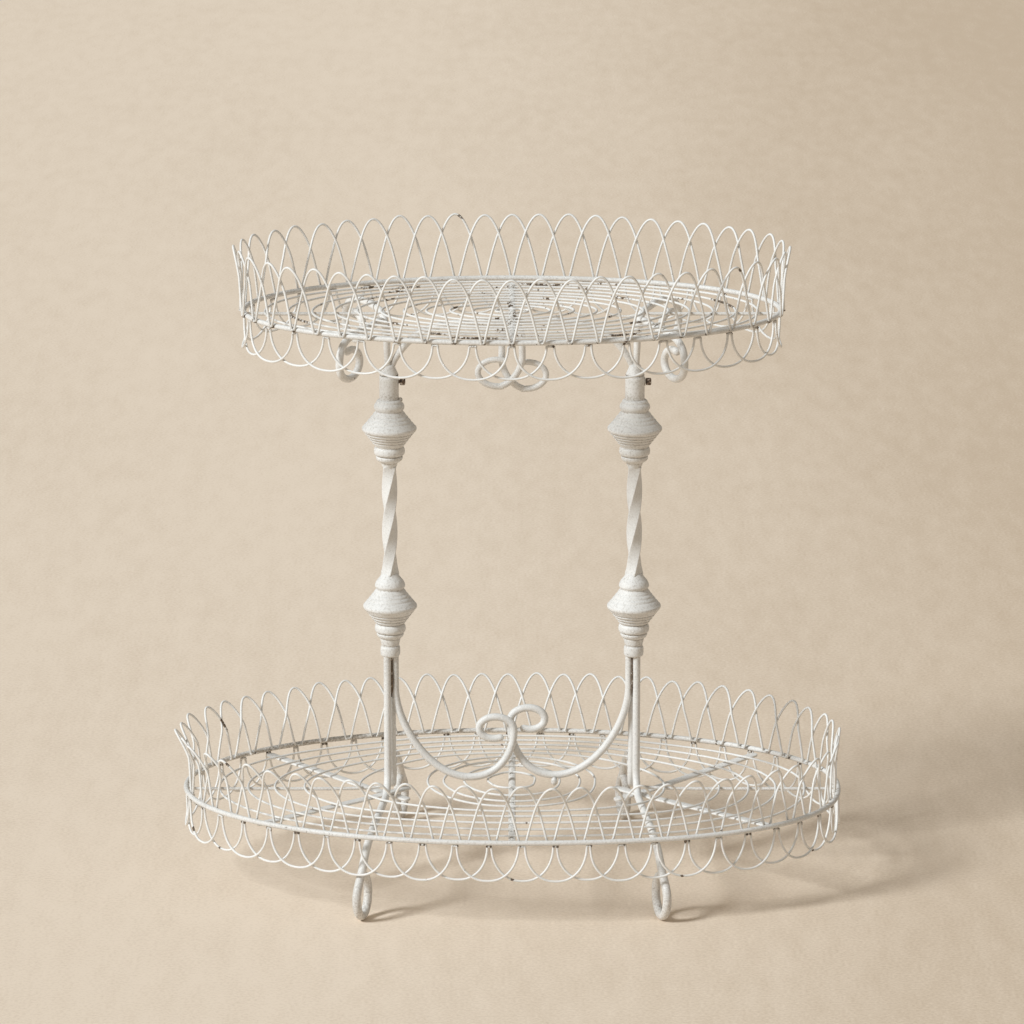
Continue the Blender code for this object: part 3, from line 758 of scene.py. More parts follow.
@dataclass(frozen=True)
class HoopRow:
    """A woven row of hoops round a rim: arches above it or scallops below it.

    A chip's least and most hold its place and length in spacings, and its strength.
    """

    count: int
    span: float
    height: float
    seed: int
    power: float = 2.0
    level: float = 0.0
    seat: float = 0.0
    flare: float = 0.0
    flare_start: float = 0.55
    flare_power: float = 1.3
    foot_roundness: float = 0.05
    weave: float = 1.55 * MM
    uneven_height: float = 0.03
    uneven_place: float = 0.045
    uneven_lean: float = 0.9 * MM
    chipped_share: float = 0.09
    chip_least: Sequence[float] = (-0.6, 0.05, 0.6)
    chip_most: Sequence[float] = (0.6, 0.10, 0.95)
    wear: float = 0.18
    foot_wear: float = 0.30
    foot_grime: float = 0.55
    right_flare: float = 1.0
    fullness: float = 1.0
    sample_step: float = 7.0 * MM
    sample_bend: float = 0.22

    def rise(self, place: Array) -> Array:
        """Height of a hoop as a share of its crown's, by distance from its middle in spacings."""
        curve = 1.0 - (np.abs(place) / self.span) ** self.power
        return ((curve + np.sqrt(curve ** 2 + self.foot_roundness ** 2)) / 2.0) ** self.fullness

    def samples(self, spacing: float) -> Array:
        """Choose places along a hoop, closer where it bends.

        Args:
            spacing: Distance between hoops in metres.

        Returns:
            Places from one foot to the next, in spacings from the hoop's middle.
        """
        place = np.linspace(-1.0, 1.0, 1201)
        x = np.diff(place) * spacing
        z = np.diff(self.rise(place)) * self.height
        bend = np.abs(np.diff(np.arctan2(z, x), prepend=0.0))
        steps = np.hypot(x, z) / self.sample_step + bend / self.sample_bend
        measure = np.concatenate(([0.0], np.cumsum(steps)))
        marks = np.linspace(0.0, measure[-1], math.ceil(measure[-1]), endpoint=False)
        return np.interp(marks, measure, place)

    def wire(self, oval: Oval, rim_height: float, layer: Layer) -> MeshDraft:
        """Bend every second hoop of the row from one wire.

        Args:
            oval: Centre line of the rim.
            rim_height: Height of that line.
            layer: Which of the two wires.

        Returns:
            The wire's draft.
        """
        rng = np.random.default_rng(self.seed + (layer is Layer.INNER))
        place = self.samples(oval.length / self.count)
        share = self.rise(place)
        lean = np.maximum(0.0, share - self.flare_start) / (1.0 - self.flare_start)
        lean = self.flare * lean ** self.flare_power
        woven = layer.value * self.weave * (1.0 - np.abs(place) ** 6)
        path = []
        guides = []
        wear = []
        for hoop in range(0 if layer is Layer.OUTER else 1, self.count, 2):
            height = self.height * (1.0 - self.uneven_height * rng.random())
            shift = self.uneven_place * rng.uniform(-1.0, 1.0) * (1.0 - np.abs(place) ** 16)
            tilt = self.uneven_lean * rng.uniform(-1.0, 1.0) * share
            points, outward = oval.at((hoop + place + shift) / self.count)
            right_end = min(hoop, self.count - hoop) / self.count
            upright = 1.0 + (self.right_flare - 1.0) * bump(right_end, 0.075)
            out = self.seat + woven + upright * np.minimum(lean + tilt, lean)
            rise = UP * (rim_height + self.level + height * share)[:, None]
            path.append(points + outward * out[:, None] + rise)
            guides.append(outward)
            centre, length, strength = rng.uniform(self.chip_least, self.chip_most)
            bare = strength * bump(place - centre, length) if rng.random() < self.chipped_share else 0.0
            wear.append(self.wear * rng.random() + self.foot_wear * bump(share, 0.05) + bare)
        draft = MeshDraft()
        grime = np.tile(self.foot_grime * bump(share, 0.07), len(path))
        draft.rod(np.concatenate(path), np.concatenate(guides), WIRE, 8, np.concatenate(wear), grime,
                  closed=True)
        return draft

    def feet(self, oval: Oval, rim_height: float) -> list[tuple[Array, Array]]:
        """Ends of the hoops' legs on the rim.

        Args:
            oval: Centre line of the rim.
            rim_height: Height of that line.

        Returns:
            Point and outward direction of each leg's end.
        """
        found = []
        for leg in (-1.0, 1.0):
            places = np.arange(self.count) + leg * (self.span + 0.02)
            points, outward = oval.at(places / self.count)
            points = points + outward * (0.55 * self.seat) + UP * (rim_height + self.level)
            found += list(zip(points, outward))
        return found


@dataclass
class Tray:
    """A tray: rim, woven fence above it, woven scallops below it, and a floor of oval wires."""

    name: str
    body: Body
    arches: HoopRow
    scallops: HoopRow
    rings: Sequence[tuple[float, float]]
    node_rings: Sequence[int]
    end_rod_start: float
    uneven: float
    floor_wear: float
    binding_wear: float
    arch_rust: float
    scallop_rust: float
    # Strength of the painted shade laid on the rim's rear left
    rear_left_shade: float
    seed: int
    dome: float = 0.0
    front_right: float = 2.0
    bow_half_length: float = 150.0 * MM
    # Where round the rim that painted shade lies, as a share of the way from the +X end
    rear_left_shade_place: float = 0.38
    bead_size: Sequence[float] = (1.3 * MM, 1.9 * MM)
    end_thinning: float = 0.55
    end_fade: float = 9.0 * MM
    binding_pitch: float = 4.4 * MM
    binding_end_room: float = 14.0 * MM
    rim_height: float = field(init=False)
    oval: Oval = field(init=False)

    def __post_init__(self) -> None:
        """Take the rim's size and height from its solid."""
        low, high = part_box(self.name + "_rim")
        self.rim_height = (low.z + high.z) / 2.0
        self.oval = Oval(high.x - RIM_CORNER, high.y - RIM_CORNER, self.front_right)

    @property
    def floor_height(self) -> float:
        """Height of the floor wires' underside."""
        return self.rim_height - FLOOR_DROP

    def rim_depth(self, x: float) -> float:
        """Distance of the rim from the long axis at a place along it."""
        return self.oval.half_width * math.sqrt(1.0 - (x / self.oval.half_length) ** 2)

    def bowed(self, x: Array, y: Array) -> Array:
        """Rise of the floor, which is bowed up between the columns."""
        along = np.exp(-((x / self.bow_half_length) ** 4))
        return self.dome * (1.0 - (y / self.oval.half_width) ** 2) * along

    def build(self) -> list[bpy.types.Object]:
        """Build all of the tray.

        Returns:
            Its pieces.
        """
        made = [self.build_rim()]
        for row, part in ((self.arches, "arch"), (self.scallops, "scallop")):
            for layer in Layer:
                name = f"{self.name}_{part}_wire_{word(layer)}"
                draft = row.wire(self.oval, self.rim_height, layer)
                made.append(draft.piece(name, WIRE_PAINT, self.body, name))
        made += self.build_floor()
        made += self.build_supports()
        made.append(self.build_beads())
        return made

    def build_rim(self) -> bpy.types.Object:
        """Bend the oval rod that carries everything else.

        Returns:
            The piece.
        """
        rng = np.random.default_rng(self.seed)
        turns = np.linspace(0.0, 1.0, 360, endpoint=False)
        points, outward = self.oval.at(turns)
        wear = 0.10 + 0.16 * wave(turns, 3.0, rng.random()) ** 2
        # Light grime all round, plus painted shade on the rear left, where the rim's inner face is turned
        # from the lamp
        grime = 0.12 + self.rear_left_shade * bump(turns - self.rear_left_shade_place, 0.10)
        draft = MeshDraft()
        draft.rod(points + UP * self.rim_height, outward, RIM, 14, wear, grime, closed=True)
        name = self.name + "_rim"
        return draft.piece(name, ROD_PAINT, self.body, name)

    def build_floor(self) -> list[bpy.types.Object]:
        """Lay the oval wires, each a little out of true.

        Returns:
            A piece for each solid, and one for the wires between them.
        """
        rng = np.random.default_rng(self.seed + 1)
        made = []
        between = MeshDraft()
        turns = np.linspace(0.0, 1.0, 240, endpoint=False)
        for number, (half_length, half_width) in enumerate(self.rings, 1):
            points, outward = Oval(half_length, half_width, self.front_right).at(turns)
            shift = np.zeros_like(turns)
            patches = np.zeros_like(turns)
            for waves in (2, 3, 5, 8):
                shift += rng.normal(0.0, 0.45) * wave(turns, waves, rng.random())
                patches += rng.normal(0.0, 0.30) * wave(turns, 2 * waves, rng.random())
            path = points + outward * (self.uneven * shift)[:, None]
            path[:, 2] += self.rim_height - OVAL_DROP + self.bowed(path[:, 0], path[:, 1])
            wear = self.floor_wear * np.clip(patches, 0.0, 0.9)
            draft = MeshDraft() if number in self.node_rings else between
            draft.rod(path, outward, WIRE, 8, wear, 0.10, closed=True)
            if number in self.node_rings:
                name = f"{self.name}_floor_oval_{self.node_rings.index(number) + 1}"
                made.append(draft.piece(name, WIRE_PAINT, self.body, name))
        if between.count:
            made.append(between.piece(self.name + "_floor_between", WIRE_PAINT, self.body))
        return made

    def build_supports(self) -> list[bpy.types.Object]:
        """Lay the spine across the tray with its binding wire, and the end rods along it.

        Returns:
            The pieces.
        """
        reach = self.oval.half_width - 1.3 * RIM
        made = [self.support("spine", (0.0, -reach), (0.0, reach), SPINE), self.build_binding(reach)]
        for side in Side:
            inner = (side.value * self.end_rod_start, 0.0)
            outer = (side.value * (self.oval.half_length - RIM / 2.0), 0.0)
            made.append(self.support("end_rod_" + word(side), inner, outer, END_ROD))
        return made

    def support(self, part: str, start: Sequence[float], end: Sequence[float],
                radius: float) -> bpy.types.Object:
        """Lay a straight rod under the floor wires.

        Args:
            part: Last part of the piece's name.
            start: Where it starts, seen from above.
            end: Where it ends.
            radius: Radius of the rod.

        Returns:
            The piece.
        """
        path = densify(np.array(((*start, self.floor_height), (*end, self.floor_height))), 3.0 * MM)
        radii = radius * (1.0 - self.end_thinning * bump(way_to_end(path), self.end_fade))
        path[:, 2] += self.bowed(path[:, 0], path[:, 1]) - radii
        draft = MeshDraft()
        draft.rod(path, UP, radii, 12, 0.15, 0.25)
        name = f"{self.name}_{part}"
        return draft.piece(name, ROD_PAINT, self.body, name)

    def build_binding(self, reach: float) -> bpy.types.Object:
        """Wind thin wire round the spine, and over each floor wire where they cross.

        Args:
            reach: Half of the spine's length.

        Returns:
            The piece.
        """
        end = reach - self.binding_end_room
        y = np.linspace(-end, end, math.ceil(2.0 * end / self.binding_pitch * 16))
        turn = FULL_TURN * y / self.binding_pitch
        crossings = np.array([half_width for _, half_width in self.rings])
        near = np.abs(np.abs(y)[:, None] - crossings).min(axis=1)
        lift = WIRE * bump(near, 3.0 * MM)
        half_width = SPINE + 0.7 * BINDING
        middle = self.floor_height - SPINE + lift + self.bowed(0.0 * y, y)
        height = middle + (half_width + lift) * np.sin(turn)
        path = np.stack((half_width * np.cos(turn), y, height), axis=1)
        wear = self.binding_wear * (1.0 + 0.6 * np.sin(turn / 2.6))
        draft = MeshDraft()
        draft.rod(path, ALONG_Y, BINDING, 6, wear, 0.4)
        return draft.piece(self.name + "_spine_binding", WIRE_PAINT, self.body)

    def build_beads(self) -> bpy.types.Object:
        """Set small drops of braze, some of them rusty, where the hoops' legs end on the rim.

        Returns:
            The piece.
        """
        rng = np.random.default_rng(self.seed + 2)
        draft = MeshDraft()
        for row, rusty in ((self.arches, self.arch_rust), (self.scallops, self.scallop_rust)):
            for point, outward in row.feet(self.oval, self.rim_height):
                size = rng.uniform(*self.bead_size)
                wear = 1.0 if rng.random() < rusty else 0.3
                draft.lump(point, outward, size, size + 0.45 * abs(row.seat), wear, 0.5)
        return draft.piece(self.name + "_braze_beads", WIRE_PAINT, self.body)


@dataclass
class Straps:
    """Flat bars crossed in pairs under the columns, which rise to the rim's underside."""

    tray: Tray
    column_x: float
    angle: float = math.radians(44)
    width: float = 12.0 * MM
    thickness: float = 3.0 * MM
    round_edge: float = 1.4 * MM
    floor_gap: float = 0.4 * MM
    blunt_end: float = 0.6 * MM
    tail: float = 30.0 * MM
    level_run: float = 25.0 * MM
    crossing_drop: float = 8.0 * MM
    end_room: float = 5.0 * MM

    def length(self, heading: Array) -> float:
        """Measure a strap from the column to the rim.

        Args:
            heading: Level direction of the strap.

        Returns:
            Distance along it to the rim's inner side.
        """
        way = np.linspace(0.0, self.tray.oval.half_length, 4001)
        side = math.copysign(self.column_x, heading[0])
        inside = self.tray.oval.share(side + way * heading[0], way * heading[1]) < 1.0
        return float(way[inside][-1]) - self.end_room

    def build(self) -> list[bpy.types.Object]:
        """Build the four straps.

        Returns:
            The pieces.
        """
        made = []
        for side in Side:
            for layer, end in enumerate(End):
                heading = np.array((side.value * math.cos(self.angle),
                                    end.value * math.sin(self.angle), 0.0))
                column = side.value * self.column_x * ALONG_X
                low = self.tray.rim_height - self.crossing_drop - (layer + 0.5) * self.thickness
                high = self.tray.floor_height - self.floor_gap - self.thickness / 2.0
                path = np.stack((column - heading * self.tail + UP * low,
                                 column + heading * self.level_run + UP * low,
                                 column + heading * self.length(heading) + UP * high))
                path = soften(densify(path, PATH_STEP), 12)
                made.append(self.strap(path, np.cross(heading, UP), side, end))
        return made

    def strap(self, path: Array, across: Array, side: Side, end: End) -> bpy.types.Object:
        """Roll one strap with rounded edges and a rounded tail.

        Args:
            path: Centre line of the strap.
            across: Direction of its width.
            side: Side of its column.
            end: End that it runs to.

        Returns:
            The piece.
        """
        outline = rounded_bar(self.width, self.thickness, self.round_edge, 4)
        nearest = way_to_end(path) + self.blunt_end
        narrowing = np.sqrt(1.0 - np.maximum(0.0, 1.0 - 2.0 * nearest / self.width) ** 2)
        outlines = outline * np.stack((narrowing, np.ones_like(narrowing)), axis=1)[:, None]
        draft = MeshDraft()
        draft.sweep(path, across, outlines, 0.16, 0.04)
        name = f"lower_strap_{word(side)}_{'front' if end is End.FRONT else 'back'}"
        return draft.piece(name, ROD_PAINT, Body.BASE, name)


@dataclass
class CurledRods:
    """Rods that leave a column's bundle, run out under a tray and end in a scroll: legs or brackets.

    The shifts are counted in spreads, and the room for the drop and the turn in curl half widths.
    """

    name: str
    body: Body
    tray: Tray
    column_x: float
    start_height: float
    places: dict[End, float]
    turns: dict[End, float]
    curl: Curl
    curl_height: float
    room: float
    bend: float = 28.0 * MM
    necked: bool = False
    pinch: float = 0.0
    swell: float = 0.0
    foot_dirt: float = 0.0
    spread: float = 0.0
    # Length and place of the dark rod that paints shade into the bundle's gap
    gap_shade_length: float = 56.0 * MM
    gap_shade_place: Sequence[float] = (-1.4 * MM, -4.6 * MM)
    front_shift: Sequence[float] = (0.18, 0.0)
    rear_shift: Sequence[float] = (-1.0, 0.55)
    drop_room: float = 2.2
    turn_room: float = 1.6
    neck_rise: float = 30.0 * MM
    neck_slope: float = math.radians(60)

    def build(self) -> list[bpy.types.Object]:
        """Build the four rods.

        Returns:
            The pieces.
        """
        made = []
        for side in Side:
            for end in End:
                name = f"{self.name}_{word(end)}_{word(side)}"
                path, guides = self.route(side, end)
                way = np.linspace(0.0, 1.0, len(path))
                radii = ROD * (1.0 - self.pinch * bump(way, 0.10) + self.swell * bump(way - 0.83, 0.19))
                column = side.value * self.column_x * ALONG_X
                gather = np.where(way < 0.5, 2.0 * self.pinch * bump(way, 0.10), 0.0)[:, None]
                path = path + gather * (column - path) * (1.0, 1.0, 0.0)
                wear = 0.10 + 0.16 * bump(way - 0.9, 0.2)
                grime = 0.30 * bump(way, 0.06) + self.foot_dirt * bump(way - 0.86, 0.16)
                draft = MeshDraft()
                draft.rod(path, guides, radii, 14, wear, grime)
                # The front rod of a necked pair also carries the painted shade of the bundle's gap
                if self.necked and end is End.FRONT:
                    self.add_gap_shade(draft, side)
                made.append(draft.piece(name, ROD_PAINT, self.body, name))
        return made

    def add_gap_shade(self, draft: MeshDraft, side: Side) -> None:
        """Put a thin dark rod into the top of the gap between the bundle's rods, as painted shade.

        Args:
            draft: Draft of the front rod.
            side: Side of its column.
        """
        inward, forward = self.gap_shade_place
        top = np.array((side.value * (self.column_x + inward), forward, self.start_height))
        path = densify(np.stack((top, top - UP * self.gap_shade_length)), 4.0 * MM)
        depth = np.linspace(0.0, 1.0, len(path))
        width = (1.5 + 0.9 * bump(depth - 0.62, 0.22) - 0.9 * bump(depth - 1.0, 0.1)) * MM
        # Full wear and grime leave this rod bare dark iron: a painted shadow standing in for the shade in
        # the gap
        draft.rod(path, ALONG_X, width, 10, 1.0, 1.0)

    def route(self, side: Side, end: End) -> tuple[Array, Array]:
        """Follow one rod from its bundle to its scroll's tip.

        Args:
            side: Side of its column.
            end: End that it runs to.

        Returns:
            Points of its centre line, and the direction square to its bends at each.
        """
        start = np.array((side.value * (self.column_x + BUNDLE / 2.0),
                          end.value * BUNDLE * math.sqrt(3.0) / 2.0, 0.0))
        outward, backward = self.front_shift if end is End.FRONT else self.rear_shift
        start += self.spread * np.array((side.value * outward, backward, 0.0))
        x = self.places[end]
        foot = np.array((side.value * x, end.value * (self.tray.rim_depth(x) - self.room), 0.0))
        reach = float(np.linalg.norm(foot - start))
        heading = unit(foot - start)
        run = self.tray.floor_height - ROD
        toward = 1.0 if self.start_height > run else -1.0
        quarter = math.pi + toward * np.linspace(0.0, math.pi / 2.0, 18)
        bent = np.stack((self.bend * (1.0 + np.cos(quarter)),
                         run + toward * self.bend + self.bend * np.sin(quarter)), axis=1)
        leave = (reach - self.drop_room * self.curl.half_width, run)
        front = (reach + self.curl.half_width, self.curl_height)
        if self.necked:
            neck = np.array((reach, self.curl_height + self.neck_rise))
            slope = np.array((math.cos(self.neck_slope), -math.sin(self.neck_slope)))
            slope *= 0.5 * self.curl.half_width
            drop = np.concatenate((
                cubic(leave, (reach - self.curl.half_width, run), neck - slope, neck),
                cubic(neck, neck + slope, (front[0], front[1] + 0.5 * self.curl.half_height), front)))
        else:
            drop = cubic(leave, (reach, run), (front[0], run), front)
        side_view = np.concatenate((
            np.array(((0.0, self.start_height),)), bent, np.array((leave,)), drop,
            self.curl.points((reach, self.curl_height), -1.0)))
        side_view = soften(densify(side_view, PATH_STEP), 6)
        pivot = reach - self.turn_room * self.curl.half_width
        turn = -side.value * end.value * self.turns[end]
        turned = np.array((heading[0] * math.cos(turn) - heading[1] * math.sin(turn),
                           heading[0] * math.sin(turn) + heading[1] * math.cos(turn), 0.0))
        out = side_view[:, :1]
        level = np.minimum(out, pivot) * heading + np.maximum(0.0, out - pivot) * turned
        path = start + level + UP * side_view[:, 1:]
        guides = np.where(out > pivot, np.cross(turned, UP), np.cross(heading, UP))
        return path, guides


@dataclass
class ScrollPair:
    """Two rods that sweep from the columns to the middle, pass each other there and curl."""

    name: str
    body: Body
    tray: Tray
    column_x: float
    end_height: float
    curl: Curl
    reach: float
    fade: float
    pinch: float = 0.0
    taper: float = 0.0
    passing: float = 1.01 * ROD

    @property
    def own(self) -> float:
        """Distance past the middle at which a rod starts, negative on its own side."""
        return BUNDLE - self.column_x

    def profile(self, side: Side) -> Array:
        """Route of a rod as distance past the middle and height, given by each kind of pair."""
        raise NotImplementedError

    def build(self) -> list[bpy.types.Object]:
        """Build both rods.

        Returns:
            The pieces.
        """
        made = []
        for side in Side:
            profile = soften(densify(self.profile(side), PATH_STEP), 6)
            share = np.minimum(1.0, (profile[:, 0] - self.own) / self.fade)
            path = np.stack((-side.value * profile[:, 0], side.value * self.passing * share,
                             profile[:, 1]), axis=1)
            name = f"{self.name}_{word(side)}"
            way = np.linspace(0.0, 1.0, len(path))
            radii = ROD * (1.0 - self.pinch * bump(way, 0.07) - self.taper * way ** 2)
            path[:, 0] += side.value * 2.0 * self.pinch * BUNDLE * bump(way, 0.07)
            draft = MeshDraft()
            draft.rod(path, ALONG_Y, radii, 14, 0.08 + 0.12 * way, 0.30 * bump(way, 0.06))
            self.trim(draft, side)
            made.append(draft.piece(name, ROD_PAINT, self.body, name))
        return made

    def trim(self, draft: MeshDraft, side: Side) -> None:
        """Add what one rod has besides its route."""


@dataclass
class LowerScrolls(ScrollPair):
    """Scrolls that hang from the columns to the lower tray's middle and curl upwards."""

    low_x: float = 51.0 * MM
    clearance: float = 11.3 * MM
    curl_rise: float = 71.0 * MM
    right_lift: float = 9.0 * MM
    straight: float = 45.0 * MM
    drop_place: Sequence[float] = (-3.5 * MM, 5.6 * MM)
    drop_size: Sequence[float] = (4.2 * MM, 5.4 * MM)

    def profile(self, side: Side) -> Array:
        """Follow a rod down from its column and into its curl.

        Args:
            side: Side of the rod's column.

        Returns:
            Distance past the middle and height of each point.
        """
        low = self.tray.rim_height + self.clearance
        lift = self.right_lift if side is Side.RIGHT else 0.0
        straight_end = (self.own, self.end_height - self.straight)
        low_point = (-self.low_x, low)
        centre = (self.reach - self.curl.half_width, self.tray.rim_height + self.curl_rise + lift)
        right = (self.reach, centre[1])
        return np.concatenate((
            np.array(((self.own, self.end_height), straight_end)),
            cubic(straight_end, (self.own, low + 0.6 * (straight_end[1] - low)),
                  (self.own + 0.45 * (low_point[0] - self.own), low), low_point, 48),
            cubic(low_point, (0.3 * low_point[0], low), (right[0], low + 0.5 * (right[1] - low)), right),
            self.curl.points(centre, 1.0)))

    def trim(self, draft: MeshDraft, side: Side) -> None:
        """Seat the right rod on the floor wires with a drop of braze.

        Args:
            draft: Draft of the rod.
            side: Side of the rod's column.
        """
        if side is Side.RIGHT:
            y, rise = self.drop_place
            place = np.array((self.low_x, y, self.tray.rim_height + rise))
            draft.lump(place, UP, *self.drop_size, 0.1, 0.3)


@dataclass
class UpperScrolls(ScrollPair):
    """Scrolls that rise from the plugs, run in under the spine, turn down and curl.

    The curve down takes the place of the curl's first points, which are skipped.
    """

    curl_drop: float = 73.5 * MM
    right_drop: float = 5.0 * MM
    upright: float = 4.0 * MM
    lean: float = math.radians(20)
    run_drop: float = 14.5 * MM
    straight_rise: float = 22.0 * MM
    points_skipped: int = 17

    def profile(self, side: Side) -> Array:
        """Follow a rod up from its plug, in to the middle and into its curl.

        Args:
            side: Side of the rod's column.

        Returns:
            Distance past the middle and height of each point.
        """
        run = self.tray.rim_height - self.run_drop
        drop = self.curl_drop + (self.right_drop if side is Side.RIGHT else 0.0)
        middle = self.reach - self.curl.half_width
        centre = (middle, self.tray.rim_height - drop)
        upright_end = (self.own, self.end_height + self.upright)
        climb = run - upright_end[1]
        leaning = (self.own + 0.5 * climb * math.tan(self.lean), upright_end[1] + 0.5 * climb)
        level_start = (self.own + 1.7 * climb, run)
        turn_start = (middle, run)
        straight_end = (self.reach, centre[1] + self.straight_rise)
        bottom = (middle, centre[1] - self.curl.half_height)
        return np.concatenate((
            np.array(((self.own, self.end_height), upright_end)),
            cubic(upright_end, leaning, (self.own + 0.5 * climb, run), level_start),
            np.array((turn_start,)),
            cubic(turn_start, (self.reach, run), (self.reach, run), straight_end),
            cubic(straight_end, (self.reach + 3.0 * MM, straight_end[1] - 14.0 * MM),
                  (middle + 17.0 * MM, bottom[1] + 1.0 * MM), bottom),
            self.curl.points(centre, -1.0)[self.points_skipped:]))


class TurnedProfile:
    """Outline of a turned casting, drawn upwards in millimetres."""

    def __init__(self, radius: float, height: float) -> None:
        """Start at a radius and a height."""
        self.points: list[Sequence[float]] = [(radius, height)]

    def go(self, radius: float, height: float, offsets: Array) -> "TurnedProfile":
        """Go on in even steps.

        Args:
            radius: Radius at the end.
            height: Height at the end.
            offsets: How far each step's point lies outside the straight way.

        Returns:
            The profile.
        """
        start = np.array(self.points[-1])
        way = start + shares_of(len(offsets))[:, None] * ((radius, height) - start)
        way[:, 0] += offsets
        self.points += way.tolist()
        return self

    def line(self, radius: float, height: float, steps: int = 4) -> "TurnedProfile":
        """Go straight to a radius and a height."""
        return self.go(radius, height, np.zeros(steps))

    def sag(self, radius: float, height: float, depth: float) -> "TurnedProfile":
        """Go to a radius and a height in a hollow curve, or a full one if the depth is negative."""
        t = shares_of(8)
        return self.go(radius, height, -4.0 * depth * t * (1.0 - t))

    def bead(self, crest: float, height: float, base: float, fullness: float) -> "TurnedProfile":
        """Swell out and back in.

        Args:
            crest: Largest radius.
            height: Where the bead ends.
            base: Radius there.
            fullness: Power of the swelling, smaller for a squarer bead.

        Returns:
            The profile.
        """
        t = shares_of(12)
        start = self.points[-1][0]
        swell = (1.0 - (2.0 * t - 1.0) ** 2) ** fullness
        return self.go(base, height, (crest - start - t * (base - start)) * swell)

    def grooved(self, radius: float, height: float, shares: Sequence[float], depth: float,
                width: float) -> "TurnedProfile":
        """Go straight on, with grooves at shares of the way, whose width is a share of it too."""
        dents = bump(shares_of(72)[:, None] - np.array(shares), width).max(axis=1)
        return self.go(radius, height, -depth * dents)

    def metres(self) -> Array:
        """The outline in metres, one row for each point."""
        return np.array(self.points) * MM

    def marks(self) -> tuple[Array, Array]:
        """Find the outline's proud places and hollows.

        Returns:
            Wear of the proud places and grime of the hollows, for each point.
        """
        points = np.array(self.points)
        smooth = soften(points, 60)[:, 0]
        proud = points[:, 0] - smooth
        return 0.10 + np.clip(0.13 * proud, 0.0, 0.18), np.clip(-0.5 * proud - 0.25, 0.0, 0.35)


